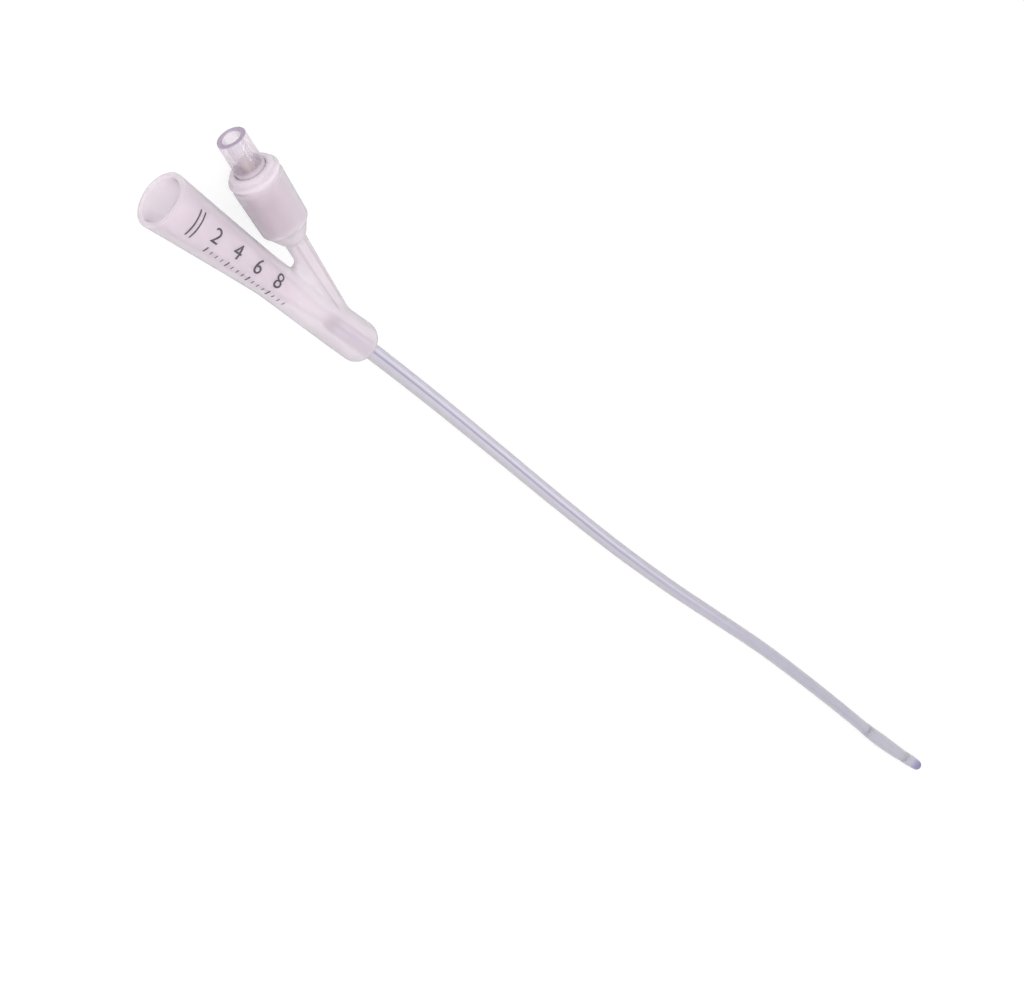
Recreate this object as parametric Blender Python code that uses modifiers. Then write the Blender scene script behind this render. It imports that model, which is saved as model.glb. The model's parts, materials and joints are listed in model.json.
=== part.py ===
"""Two-way urinary balloon catheter, size 12, all silicone, lying on a flat surface.

The Y moulding carries the drainage funnel, the inflation arm and the sleeve of the
spring valve. A twin-lumen shaft runs from it to a balloon sleeve and a closed tip.
X runs from the funnel's mouth to the tip, with +Z up. The sizes are in millimetres, and
the root empty brings them to metres.
"""

import math

import bmesh
import bpy
from mathutils import Matrix, Vector

MM = 0.001  # the root empty's scale

MERGE = 0.0001

# Gaps between pieces that are seated end to end, and between bonded or sliding walls.
SEAT_GAP = 0.3
BOND_GAP = 0.12

# How far a cutter runs on past the wall that it opens.
OVERRUN = 1.0

# Y moulding: the drainage funnel and the shoulder on the shaft, along one axis.
MOULDING_LENGTH = 68.1
MOUTH_RADIUS = 6.4
MOUTH_LIP = 0.35
FUNNEL_WALL = 1.3
WAIST_RADIUS = 4.4
WAIST_BEFORE_CROTCH = 2.7
WAIST_EASE = 0.08
SHOULDER_RADIUS = 5.0
SHOULDER_ROUND = 4.4
NECK_WALL = 0.55
THROAT_LENGTH = 12.0
THROAT_EASE = 0.1

# Shaft: two lumens in one extrusion. Size 12 is 4 mm across.
SHAFT_RADIUS = 2.0
SHAFT_LENGTH = 333.8
SOCKET_DEPTH = 13.8
MAIN_LUMEN_RADIUS = 1.12
MAIN_LUMEN_OFFSET = 0.42
SMALL_LUMEN_RADIUS = 0.3
SMALL_LUMEN_OFFSET = 1.34
SHAFT_TWIST = math.radians(24)
SKIVE_LENGTH = 3.0
SKIVE_SLOPE = 1.2
SKIVE_RISE = 0.5
DROP_LENGTH = 62.0
LIFT_LENGTH = 40.0
STATION_STEP = 6.0

# Balloon sleeve over the shaft's end, and the moulded tip beyond it.
BALLOON_LENGTH = 36.0
BALLOON_WALL = 0.26
BALLOON_TAPER = 5.0
BALLOON_FROM_END = 1.0
TIP_LENGTH = 13.5
TIP_RADIUS = 2.15
TIP_END_RADIUS = 1.95
TIP_LUMEN_LENGTH = 10.0
TIP_FLARE = 1.0
EYE_LENGTH = 3.2
EYE_WIDTH = 1.7
FIRST_EYE_AT = 2.4
SECOND_EYE_AT = 6.2

# Inflation arm, whose axis crosses the funnel's at this angle, short of the shoulder's end.
ARM_ANGLE = math.radians(17.5)
ARM_MEETS_FROM_END = 2.6
ARM_RADIUS = 2.8
ARM_ROOT_RADIUS = 2.1
ARM_ROOT_LENGTH = 8.0
ARM_BORE_RADIUS = 1.15
CHANNEL_STRAIGHT = 8.0
CHANNEL_BEND_LENGTH = 14.0
CHANNEL_BEND_BACK = 2.5
CHANNEL_RISE = 0.6

# The fork between the two limbs, and the web that fills it.
FORK_LENGTH = 28.8
CROTCH_BITE = 0.14
WEB_RADIUS = 1.9
WEB_END_RADIUS = 4.0
WEB_SINK = 0.05

# Valve sleeve on the arm, measured inwards along the arm from the luer mouth.
LUER_MOUTH_FROM_MEETING = 62.3
STEM_LENGTH = 8.4
LIP_LENGTH = 2.6
LIP_RADIUS = 5.9
LIP_BEAD = 0.78
COLLAR_RADIUS = 5.15
GROOVE_DEPTH = 0.3
GROOVE_LENGTH = 0.5
SLEEVE_RADIUS = 5.85
SLEEVE_END_RADIUS = 5.6
SLEEVE_LENGTH = 15.4
SLEEVE_CONE = 4.6
SLEEVE_EDGE = 1.2
SLEEVE_EDGE_DROP = 0.15
SLEEVE_BLEND = 1.5
SLEEVE_WALL = 1.35
SLEEVE_BORE_TAPER = 3.6

# Softened edges of the small hard pieces.
SOFT_EDGE = 0.25

# Clear luer stem and valve body.
STEM_RADIUS = 3.3
STEM_BASE_RADIUS = 3.45
LUER_RADIUS = 2.15
LUER_TAPER = 0.03
LUER_DEPTH = 8.6
LUER_CHAMFER = 0.18
FLANGE_LENGTH = 1.4
BODY_RELIEF = 0.25
SEAT_LAND = 1.4
SEAT_FLARE = 0.35
SEAT_WALL = 0.9
CHAMBER_RADIUS = 3.2
BODY_LENGTH = 14.6
BODY_CHAMFER = 0.5

# Plunger, its seal, the return spring and the spring's retainer.
PLUNGER_DEPTH = 6.0
PLUNGER_RADIUS = 1.35
PLUNGER_FLUTES = 4
PLUNGER_FLUTE = 0.4
HEAD_RADIUS = 2.7
HEAD_LENGTH = 1.4
GUIDE_RADIUS = 1.0
GUIDE_LENGTH = 2.2
SEAL_THICKNESS = 0.8
SPRING_RADIUS = 1.75
SPRING_WIRE = 0.2
SPRING_TURNS = 6
RETAINER_LENGTH = 1.6
RETAINER_HOLE = 0.8

# The shaft's route over the surface, from above: distance past the shoulder and
# sideways drift. The real one lies in a lazy double curve.
ROUTE = (
    (15, -0.4), (33, -1.0), (58, -2.15), (88, -3.75), (121, -5.1), (153, -5.5), (183, -5.15),
    (213, -4.9), (243, -5.5), (273, -6.5), (303, -7.8), (318, -8.05), (331, -8.1), (348, -7.7),
)

COLLECTION = "balloon_catheter"

# The mouth's rim and the shoulder both rest on the surface, which tips the moulding.
SHOULDER_AT = MOULDING_LENGTH - SHOULDER_ROUND * 1.6
PITCH = math.asin((MOUTH_RADIUS - SHOULDER_RADIUS) / SHOULDER_AT)
SOCKET_RADIUS = SHAFT_RADIUS + BOND_GAP
SOCKET_AT = MOULDING_LENGTH - SOCKET_DEPTH
SLEEVE_BORE = SLEEVE_RADIUS - SLEEVE_WALL
BODY_RADIUS = SLEEVE_BORE - BOND_GAP
ARM_MEETS_AT = MOULDING_LENGTH - ARM_MEETS_FROM_END
CROTCH_AT = ARM_MEETS_AT - FORK_LENGTH
WAIST_AT = CROTCH_AT - WAIST_BEFORE_CROTCH

# Places along the arm, from the luer mouth inwards.
SLEEVE_END = STEM_LENGTH + SLEEVE_LENGTH
ARM_START = SLEEVE_END + SLEEVE_CONE
ARM_END = LUER_MOUTH_FROM_MEETING - ARM_ROOT_LENGTH
ARM_AT_CROTCH = LUER_MOUTH_FROM_MEETING - FORK_LENGTH / math.cos(ARM_ANGLE)
FLANGE_AT = STEM_LENGTH + LIP_LENGTH * 0.35
BODY_END = FLANGE_AT + BODY_LENGTH
CHAMBER_AT = FLANGE_AT + FLANGE_LENGTH + SEAT_WALL
SEAL_AT = CHAMBER_AT + SEAT_GAP
HEAD_AT = SEAL_AT + SEAL_THICKNESS + BOND_GAP
HEAD_END = HEAD_AT + HEAD_LENGTH
RETAINER_AT = BODY_END - RETAINER_LENGTH - SEAT_GAP
SPRING_AT = HEAD_END + SEAT_GAP
SPRING_END = RETAINER_AT - SEAT_GAP


def clear_scene():
    for obj in list(bpy.data.objects):
        bpy.data.objects.remove(obj, do_unlink=True)


def new_collection(name, helper=False):
    collection = bpy.data.collections.new(name)
    bpy.context.scene.collection.children.link(collection)
    collection.hide_render = helper
    return collection


def material(name, colour, roughness, metallic=0.0):
    made = bpy.data.materials.new(name)
    made.use_nodes = True
    shader = made.node_tree.nodes["Principled BSDF"]
    shader.inputs["Base Color"].default_value = (*colour, 1.0)
    shader.inputs["Roughness"].default_value = roughness
    shader.inputs["Metallic"].default_value = metallic
    return made


def frame_empty(name, location, rotation, parent=None, scale=1.0):
    empty = bpy.data.objects.new(name, None)
    empty.scale = (scale, scale, scale)
    empty.location = location
    empty.rotation_euler = rotation
    empty.parent = parent
    PARTS.objects.link(empty)
    return empty


def add_object(name, mesh, collection, parent=None):
    obj = bpy.data.objects.new(name, mesh)
    obj.parent = parent
    collection.objects.link(obj)
    return obj


def as_mesh(obj):
    """The evaluated shape of a helper object as one closed mesh facing outward."""
    bpy.context.view_layer.update()
    graph = bpy.context.evaluated_depsgraph_get()
    mesh = bpy.data.meshes.new_from_object(obj.evaluated_get(graph))
    bpy.data.objects.remove(obj, do_unlink=True)
    bm = bmesh.new()
    bm.from_mesh(mesh)
    bmesh.ops.remove_doubles(bm, verts=bm.verts, dist=MERGE)
    bmesh.ops.recalc_face_normals(bm, faces=bm.faces)
    bm.to_mesh(mesh)
    bm.free()
    return mesh


def turned(name, profile, collection, parent, steps=40, ring=False):
    """A solid turned about X from a profile of (distance, radius). A ring stays off the axis."""
    points = list(profile)
    if not ring:
        points = [(points[0][0], 0.0), *points, (points[-1][0], 0.0)]
    bm = bmesh.new()
    chain = [bm.verts.new((radius, 0.0, -place)) for place, radius in points]
    for a, b in zip(chain, chain[1:] + (chain[:1] if ring else [])):
        bm.edges.new((a, b))
    outline = bpy.data.meshes.new(name)
    bm.to_mesh(outline)
    bm.free()
    helper = add_object(name, outline, collection)
    screw = helper.modifiers.new("turn", "SCREW")
    screw.angle = math.tau
    screw.steps = screw.render_steps = steps
    screw.use_merge_vertices = True
    screw.merge_threshold = MERGE
    mesh = as_mesh(helper)
    mesh.transform(Matrix.Rotation(-math.pi / 2, 4, "Y"))
    return add_object(name, mesh, collection, parent)


def swept(name, path, radii, sides, collection, parent):
    """A round tube along points, with one radius or one for each point."""
    if not isinstance(radii, list):
        radii = [radii] * len(path)
    curve = bpy.data.curves.new(name, "CURVE")
    curve.dimensions = "3D"
    curve.bevel_depth = 1.0
    curve.bevel_resolution = sides // 2 - 2
    curve.use_fill_caps = True
    spline = curve.splines.new("POLY")
    spline.points.add(len(path) - 1)
    for point, place, radius in zip(spline.points, path, radii):
        point.co = (*place, 1.0)
        point.radius = radius
    return add_object(name, as_mesh(add_object(name, curve, collection)), collection, parent)


def combine(obj, other, operation):
    modifier = obj.modifiers.new(operation.lower(), "BOOLEAN")
    modifier.operation = operation
    modifier.solver = "EXACT"
    modifier.object = other
    other.hide_render = True
    other.display_type = "WIRE"


def finish(obj, surface, smooth_angle=40):
    obj.data.materials.clear()
    obj.data.materials.append(surface)
    obj.data.shade_smooth()
    obj.data.set_sharp_from_angle(angle=math.radians(smooth_angle))
    return obj


def arc(place, radius, size, start, end, count):
    """Profile points on an arc about (place, radius), with angles in degrees from +X."""
    angles = [math.radians(start + (end - start) * i / count) for i in range(count + 1)]
    return [(place + size * math.cos(a), radius + size * math.sin(a)) for a in angles]


def moulding_axis(place):
    """A point on the moulding's axis, seen from the surface under the mouth."""
    return Vector((place * math.cos(PITCH), 0.0, MOUTH_RADIUS - place * math.sin(PITCH)))


def drift_at(far):
    """Sideways drift at a distance past the shoulder, on a smooth curve through ROUTE."""
    known = [(0.0, 0.0), *ROUTE]
    if far >= known[-1][0]:
        return known[-1][1]
    index = max(i for i, (place, _) in enumerate(known) if place <= max(far, 0.0))
    (a, side_a), (b, side_b) = known[index], known[index + 1]
    before = known[max(index - 1, 0)]
    after = known[min(index + 2, len(known) - 1)]
    slope_a = (side_b - before[1]) / (b - before[0])
    slope_b = (after[1] - side_a) / (after[0] - a)
    t = (far - a) / (b - a)
    span = b - a
    return (
        side_a * (2 * t ** 3 - 3 * t * t + 1) + side_b * (3 * t * t - 2 * t ** 3)
        + slope_a * span * (t ** 3 - 2 * t * t + t) + slope_b * span * (t ** 3 - t * t)
    )


def route_point(far):
    """The shaft's centre past the shoulder: it sinks to the surface and lies on it, and the
    thicker balloon sleeve lifts its far end a little."""
    leaving = moulding_axis(MOULDING_LENGTH)
    fall = min(max(far / DROP_LENGTH, 0.0), 1.0)
    ease = fall * fall * (3 - 2 * fall)
    start = -math.tan(PITCH) * far * (1 - fall) ** 2
    height = leaving.z + start - (leaving.z - SHAFT_RADIUS) * ease
    balloon_start = SHAFT_LENGTH - BALLOON_FROM_END - BALLOON_LENGTH
    climb = min(max((far - balloon_start) / LIFT_LENGTH + 1.0, 0.0), 1.0)
    lift = (BOND_GAP + BALLOON_WALL) * climb * climb * (3 - 2 * climb)
    return Vector((leaving.x + far, drift_at(far), height + lift))


def shaft_path(start, end, step=STATION_STEP):
    """Centre points between two lengths, both measured from the shoulder's end face."""
    count = max(1, math.ceil((end - start) / step))
    places = [start + (end - start) * i / count for i in range(count + 1)]
    return [
        moulding_axis(MOULDING_LENGTH + p) if p < 0 else route_point(p) for p in places
    ]


def offset_path(start, end, reach, turn, step=STATION_STEP):
    """A path beside the shaft's centre, at an angle from the top that grows with the twist."""
    centre = shaft_path(start, end, step)
    made = []
    for i, point in enumerate(centre):
        ahead = centre[min(i + 1, len(centre) - 1)] - centre[max(i - 1, 0)]
        side = Vector((0, 0, 1)).cross(ahead).normalized()
        top = ahead.cross(side).normalized()
        along = start + (end - start) * i / (len(centre) - 1)
        angle = turn + SHAFT_TWIST * min(max(along / SHAFT_LENGTH, 0.0), 1.0)
        made.append(point + reach * (top * math.cos(angle) - side * -math.sin(angle)))
    return made


def funnel_outline():
    corner = MOUTH_LIP
    end = MOULDING_LENGTH
    neck = SOCKET_RADIUS + NECK_WALL
    turn = SHOULDER_ROUND
    return [
        *arc(corner, MOUTH_RADIUS - corner, corner, 180, 90, 3),
        (WAIST_AT * 0.92, WAIST_RADIUS + WAIST_EASE),
        (WAIST_AT, WAIST_RADIUS),
        (WAIST_AT * 1.1, WAIST_RADIUS + WAIST_EASE / 2),
        (SHOULDER_AT * 0.86, SHOULDER_RADIUS - WAIST_EASE),
        (SHOULDER_AT, SHOULDER_RADIUS),
        *arc(end - turn * 0.75, SHOULDER_RADIUS - turn * 0.75, turn * 0.75, 78, 18, 5),
        (end, neck),
    ]


def funnel_bore_outline():
    bore = MAIN_LUMEN_RADIUS + THROAT_EASE
    return [
        (-SEAT_GAP, MOUTH_RADIUS - FUNNEL_WALL),
        (MOUTH_LIP, MOUTH_RADIUS - FUNNEL_WALL),
        (WAIST_AT, WAIST_RADIUS - FUNNEL_WALL - THROAT_EASE),
        (SOCKET_AT - THROAT_LENGTH, WAIST_RADIUS - 1.6 * FUNNEL_WALL),
        (SOCKET_AT - THROAT_LENGTH * 0.4, bore * 1.15),
        (SOCKET_AT, bore),
        (SOCKET_AT, SOCKET_RADIUS),
        (MOULDING_LENGTH + SEAT_GAP, SOCKET_RADIUS),
    ]


def arm_radius(place):
    """The arm narrows from the valve sleeve's cone to where it sinks into the shoulder."""
    share = (place - ARM_START) / (ARM_END - ARM_START)
    return ARM_RADIUS + (ARM_ROOT_RADIUS - ARM_RADIUS) * share


def arm_point(place):
    """A point on the arm's axis, in the moulding's own frame."""
    back = LUER_MOUTH_FROM_MEETING - place
    return Vector((ARM_MEETS_AT - back * math.cos(ARM_ANGLE), back * math.sin(ARM_ANGLE), 0.0))


def fork_web():
    """Fills the fork: a wedge that thickens towards the shoulder, with a saddle at the crotch."""
    upright = Matrix.Rotation(math.pi / 2, 4, "Y")
    across_arm = Matrix.Rotation(-ARM_ANGLE, 4, "Z") @ upright
    rings = (
        (Vector((CROTCH_AT, 0, 0)), WEB_RADIUS, upright),
        (Vector((arm_point(ARM_END).x, 0, 0)), WEB_END_RADIUS, upright),
        (arm_point(ARM_AT_CROTCH), WEB_RADIUS, upright),
        (arm_point(ARM_END), ARM_ROOT_RADIUS - WEB_SINK, across_arm),
    )
    bm = bmesh.new()
    for place, radius, turn in rings:
        bmesh.ops.create_circle(
            bm, segments=32, radius=radius, matrix=Matrix.Translation(place) @ turn
        )
    hull = bmesh.ops.convex_hull(bm, input=bm.verts)
    inside = set(hull["geom_interior"]) | set(hull["geom_unused"])
    loose = [item for item in inside if isinstance(item, bmesh.types.BMVert)]
    bmesh.ops.delete(bm, geom=loose, context="VERTS")
    bmesh.ops.recalc_face_normals(bm, faces=bm.faces)
    mesh = bpy.data.meshes.new("web")
    bm.to_mesh(mesh)
    bm.free()
    web = add_object("web", mesh, CUTTERS, MOULDING)
    combine(web, crotch_cutter(), "DIFFERENCE")
    return web


def crotch_cutter():
    """A waisted spool, upright between funnel and arm: it leaves a saddle with a round edge."""
    arm_edge = arm_point(ARM_AT_CROTCH).y - arm_radius(ARM_AT_CROTCH) / math.cos(ARM_ANGLE)
    reach = (arm_edge - WAIST_RADIUS) / 2 + CROTCH_BITE + WEB_RADIUS
    top = WEB_RADIUS + OVERRUN
    profile = [(-top, reach), *arc(0, reach, WEB_RADIUS, 180, 360, 10), (top, reach)]
    spool = turned("crotch_cutter", profile, CUTTERS, MOULDING, steps=32)
    spool.rotation_euler = (0, math.pi / 2, 0)
    spool.location = (CROTCH_AT, (arm_edge + WAIST_RADIUS) / 2, 0)
    return spool


def arm_outline():
    """The collar's two beads, the valve sleeve with its cone, and the arm, from the luer side."""
    bead = LIP_BEAD
    groove = STEM_LENGTH + LIP_LENGTH
    floor = SLEEVE_RADIUS - GROOVE_DEPTH
    cone = SLEEVE_CONE
    return [
        *arc(STEM_LENGTH + bead, COLLAR_RADIUS - bead, bead, 180, 60, 4),
        *arc(groove - bead, LIP_RADIUS - bead, bead, 150, 20, 5),
        (groove, floor),
        (groove + GROOVE_LENGTH, floor),
        (groove + GROOVE_LENGTH * 1.7, SLEEVE_RADIUS),
        (SLEEVE_END - SLEEVE_EDGE, SLEEVE_END_RADIUS),
        (SLEEVE_END - SLEEVE_EDGE * 0.25, SLEEVE_END_RADIUS - SLEEVE_EDGE_DROP),
        (SLEEVE_END + cone * 0.3, SLEEVE_END_RADIUS * 0.82),
        (SLEEVE_END + cone * 0.75, ARM_RADIUS * 1.2),
        (ARM_START, ARM_RADIUS * 1.03),
        (ARM_START + SLEEVE_BLEND, arm_radius(ARM_START + SLEEVE_BLEND)),
        (ARM_END, ARM_ROOT_RADIUS),
    ]


def sleeve_bore_outline():
    """The collar closes in on the stem, so that it holds the valve's flange in the sleeve."""
    end = BODY_END + SEAT_GAP
    collar = STEM_BASE_RADIUS + BOND_GAP
    return [
        (STEM_LENGTH - SEAT_GAP, collar),
        (FLANGE_AT - BOND_GAP, collar),
        (FLANGE_AT - BOND_GAP, SLEEVE_BORE),
        (end, SLEEVE_BORE),
        (end + SLEEVE_BORE_TAPER, ARM_BORE_RADIUS),
        (end + SLEEVE_BORE_TAPER + OVERRUN, ARM_BORE_RADIUS),
    ]


def build_moulding(surface):
    """Funnel, arm and valve sleeve in one, hollow all the way to the shaft's two lumens."""
    body = turned("funnel_moulding", funnel_outline(), PARTS, MOULDING)
    for form in (turned("arm_form", arm_outline(), CUTTERS, ARM), fork_web()):
        combine(body, form, "UNION")
    bore = turned("funnel_bore", funnel_bore_outline(), CUTTERS, MOULDING, steps=32)
    sleeve_bore = turned("sleeve_bore", sleeve_bore_outline(), CUTTERS, ARM, steps=36)
    for cutter in (bore, sleeve_bore, inflation_channel()):
        combine(body, cutter, "DIFFERENCE")
    return finish(body, surface)


def inflation_channel():
    """From the valve's bore down the arm, then over the top of the shaft to its small lumen."""
    start = BODY_END + SEAT_GAP + SLEEVE_BORE_TAPER
    straight = arm_point(start + CHANNEL_STRAIGHT)
    leaving = arm_point(LUER_MOUTH_FROM_MEETING - CHANNEL_BEND_LENGTH)
    above = Vector((SOCKET_AT + SKIVE_LENGTH, 0.0, SMALL_LUMEN_OFFSET + CHANNEL_RISE))
    bend = Vector((above.x - CHANNEL_BEND_BACK, SHAFT_RADIUS * 0.95, SHAFT_RADIUS * 0.65))
    path = [arm_point(start), straight, leaving, bend, above]
    small = SMALL_LUMEN_RADIUS * 2
    radii = [ARM_BORE_RADIUS, ARM_BORE_RADIUS, ARM_BORE_RADIUS * 0.85, small * 1.2, small]
    return swept("inflation_channel", path, radii, 12, CUTTERS, MOULDING)


def build_shaft(surface):
    start = -SOCKET_DEPTH + SEAT_GAP
    shaft = swept("shaft_tube", shaft_path(start, SHAFT_LENGTH), SHAFT_RADIUS, 16, PARTS, FLOOR)
    over = SEAT_GAP
    lumen = swept(
        "main_lumen",
        offset_path(start - over, SHAFT_LENGTH + over, MAIN_LUMEN_OFFSET, math.pi),
        MAIN_LUMEN_RADIUS, 12, CUTTERS, FLOOR,
    )
    skive = start + SKIVE_LENGTH
    balloon_middle = SHAFT_LENGTH - BALLOON_FROM_END - BALLOON_LENGTH / 2
    inner = offset_path(skive, balloon_middle, SMALL_LUMEN_OFFSET, 0.0)
    open_at = SHAFT_RADIUS + SKIVE_RISE
    first = offset_path(skive - SKIVE_SLOPE, skive, open_at, 0.0)[0]
    last = offset_path(balloon_middle, balloon_middle + SKIVE_SLOPE, open_at, 0.0)
    small = swept(
        "small_lumen", [first, *inner, last[-1]], SMALL_LUMEN_RADIUS, 8, CUTTERS, FLOOR
    )
    combine(shaft, lumen, "DIFFERENCE")
    combine(shaft, small, "DIFFERENCE")
    return finish(shaft, surface)


def build_balloon(surface):
    """A thin sleeve bonded at both ends over the shaft, with a tapered edge at each."""
    end = SHAFT_LENGTH - BALLOON_FROM_END
    start = end - BALLOON_LENGTH
    stations = 12
    path = shaft_path(start, end, BALLOON_LENGTH / stations)
    inner = SHAFT_RADIUS + BOND_GAP
    radii = []
    for i in range(len(path)):
        edge = min(i, len(path) - 1 - i) * BALLOON_LENGTH / (len(path) - 1)
        rise = min(edge / BALLOON_TAPER, 1.0)
        radii.append(inner + BALLOON_WALL * (0.45 + 0.55 * rise * (2 - rise)))
    sleeve = swept("balloon_sleeve", path, radii, 20, PARTS, FLOOR)
    through = shaft_path(start - OVERRUN, end + OVERRUN, STATION_STEP / 2)
    bore = swept("balloon_bore", through, inner, 20, CUTTERS, FLOOR)
    combine(sleeve, bore, "DIFFERENCE")
    return finish(sleeve, surface)


def tip_frame():
    """An empty at the shaft's end, with X along the shaft."""
    end, behind = route_point(SHAFT_LENGTH), route_point(SHAFT_LENGTH - STATION_STEP)
    heading = end - behind
    turn = (0.0, 0.0, math.atan2(heading.y, heading.x))
    return frame_empty("tip_frame", end, turn, FLOOR)


def build_tip(surface):
    """Moulded tip: a slow taper to a round end, one lumen and two eyes on opposite sides."""
    place = tip_frame()
    end = TIP_LENGTH
    straight = FIRST_EYE_AT
    profile = [
        (SEAT_GAP, SHAFT_RADIUS),
        (SEAT_GAP + TIP_FLARE, TIP_RADIUS),
        (straight, TIP_RADIUS),
        (end * 0.6, TIP_RADIUS * 0.55 + TIP_END_RADIUS * 0.45),
        *arc(end - TIP_END_RADIUS, 0.0, TIP_END_RADIUS, 90, 6, 6),
    ]
    tip = turned("catheter_tip", profile, PARTS, place, steps=24)
    lumen = turned(
        "tip_lumen", [(0.0, MAIN_LUMEN_RADIUS), (TIP_LUMEN_LENGTH, MAIN_LUMEN_RADIUS)],
        CUTTERS, place, steps=16,
    )
    combine(tip, lumen, "DIFFERENCE")
    for name, where, side in (("eye_left", FIRST_EYE_AT, 1), ("eye_right", SECOND_EYE_AT, -1)):
        combine(tip, eye_cutter(name, where, side, place), "DIFFERENCE")
    return finish(tip, surface)


def eye_cutter(name, where, side, parent):
    """An oval plug that opens one side of the tip into its lumen."""
    bm = bmesh.new()
    bmesh.ops.create_cone(
        bm, cap_ends=True, segments=16, radius1=0.5, radius2=0.5, depth=1.0
    )
    mesh = bpy.data.meshes.new(name)
    bm.to_mesh(mesh)
    bm.free()
    depth = TIP_RADIUS + OVERRUN
    size = Matrix.Diagonal((EYE_LENGTH, EYE_WIDTH, depth, 1.0))
    laid = Matrix.Rotation(math.radians(90), 4, "X")
    mesh.transform(
        Matrix.Translation((where + EYE_LENGTH / 2, side * depth / 2, 0.0)) @ laid @ size
    )
    return add_object(name, mesh, CUTTERS, parent)


def luer_radius(depth):
    return LUER_RADIUS - LUER_TAPER * depth


def build_valve_body(surface):
    """Luer stem, flange and spring chamber in one clear moulding, open right through."""
    body = turned(
        "valve_body",
        [
            *arc(SOFT_EDGE, STEM_RADIUS - SOFT_EDGE, SOFT_EDGE, 180, 90, 2),
            (FLANGE_AT, STEM_BASE_RADIUS),
            (FLANGE_AT, BODY_RADIUS),
            (FLANGE_AT + FLANGE_LENGTH, BODY_RADIUS),
            (FLANGE_AT + FLANGE_LENGTH + BODY_RELIEF, BODY_RADIUS - BODY_RELIEF),
            (BODY_END - BODY_CHAMFER, BODY_RADIUS - BODY_RELIEF),
            (BODY_END, BODY_RADIUS - BODY_RELIEF - BODY_CHAMFER),
        ],
        PARTS, ARM, steps=36,
    )
    seat = luer_radius(LUER_DEPTH)
    bore = turned(
        "valve_bore",
        [
            (-SEAT_GAP, luer_radius(0) + LUER_CHAMFER + SEAT_GAP),
            (LUER_CHAMFER, luer_radius(0)),
            (LUER_DEPTH, seat),
            (CHAMBER_AT - SEAT_LAND, seat),
            (CHAMBER_AT, seat + SEAT_FLARE),
            (CHAMBER_AT, CHAMBER_RADIUS),
            (BODY_END + SEAT_GAP, CHAMBER_RADIUS),
        ],
        CUTTERS, ARM, steps=32,
    )
    combine(body, bore, "DIFFERENCE")
    return finish(body, surface)


def build_plunger(surface):
    """Fluted stem that a syringe pushes, with a flat head and a guide for the spring."""
    axis = frame_empty("plunger_axis", (0, 0, 0), (0, 0, 0), ARM)
    plunger = turned(
        "valve_plunger",
        [
            (PLUNGER_DEPTH, PLUNGER_RADIUS - SOFT_EDGE),
            (PLUNGER_DEPTH + SOFT_EDGE, PLUNGER_RADIUS),
            (HEAD_AT, PLUNGER_RADIUS),
            (HEAD_AT, HEAD_RADIUS),
            (HEAD_END, HEAD_RADIUS),
            (HEAD_END, GUIDE_RADIUS),
            (HEAD_END + GUIDE_LENGTH, GUIDE_RADIUS * 0.85),
        ],
        PARTS, axis, steps=24,
    )
    for i in range(PLUNGER_FLUTES):
        flute = flute_cutter(f"plunger_flute_{i + 1}", math.tau * i / PLUNGER_FLUTES, axis)
        combine(plunger, flute, "DIFFERENCE")
    return finish(plunger, surface)


def flute_cutter(name, turn, parent):
    """A bar along the plunger's stem, which lets water past it. It stops before the seal."""
    start, end = PLUNGER_DEPTH - SEAT_GAP, CHAMBER_AT
    bm = bmesh.new()
    bmesh.ops.create_cube(bm, size=1.0)
    mesh = bpy.data.meshes.new(name)
    bm.to_mesh(mesh)
    bm.free()
    mesh.transform(Matrix.Diagonal((end - start, PLUNGER_RADIUS * 0.7, PLUNGER_FLUTE * 2, 1.0)))
    mesh.transform(Matrix.Translation(((start + end) / 2, 0, PLUNGER_RADIUS)))
    mesh.transform(Matrix.Rotation(turn, 4, "X"))
    return add_object(name, mesh, CUTTERS, parent)


def build_seal(surface):
    """A round rubber ring between the plunger's head and the seat."""
    inner = PLUNGER_RADIUS + BOND_GAP
    half = SEAL_THICKNESS / 2
    profile = arc(SEAL_AT + half, inner + half, half, 0, 330, 11)
    seal = turned("valve_seal", profile, PARTS, ARM, steps=24, ring=True)
    return finish(seal, surface, 80)


def build_spring(surface):
    """A coil between the plunger's head and the retainer, with a closed turn at each end."""
    points = []
    per_turn = 12
    rise = SPRING_END - SPRING_AT - 2 * SPRING_WIRE
    total = per_turn * SPRING_TURNS
    for i in range(total + 1):
        turn = i / per_turn
        inner = min(max(turn - 0.75, 0.0), SPRING_TURNS - 1.5) / (SPRING_TURNS - 1.5)
        closing = (min(turn, 0.75) + max(turn - SPRING_TURNS + 0.75, 0.0)) * 2.3 * SPRING_WIRE
        free = rise - 1.5 * 2.3 * SPRING_WIRE
        place = SPRING_AT + SPRING_WIRE + closing + free * inner
        angle = math.tau * turn
        points.append(
            Vector((place, SPRING_RADIUS * math.cos(angle), SPRING_RADIUS * math.sin(angle)))
        )
    spring = swept("valve_spring", points, SPRING_WIRE, 8, PARTS, ARM)
    return finish(spring, surface, 60)


def build_retainer(surface):
    """A pressed ring with a hole, which carries the spring's far end."""
    outer = CHAMBER_RADIUS - BOND_GAP
    end = RETAINER_AT + RETAINER_LENGTH
    profile = [
        (RETAINER_AT, RETAINER_HOLE),
        (RETAINER_AT, outer - SOFT_EDGE),
        (RETAINER_AT + SOFT_EDGE, outer),
        (end, outer),
        (end, RETAINER_HOLE),
    ]
    ring = turned("valve_retainer", profile, PARTS, ARM, steps=28, ring=True)
    return finish(ring, surface)


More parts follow.
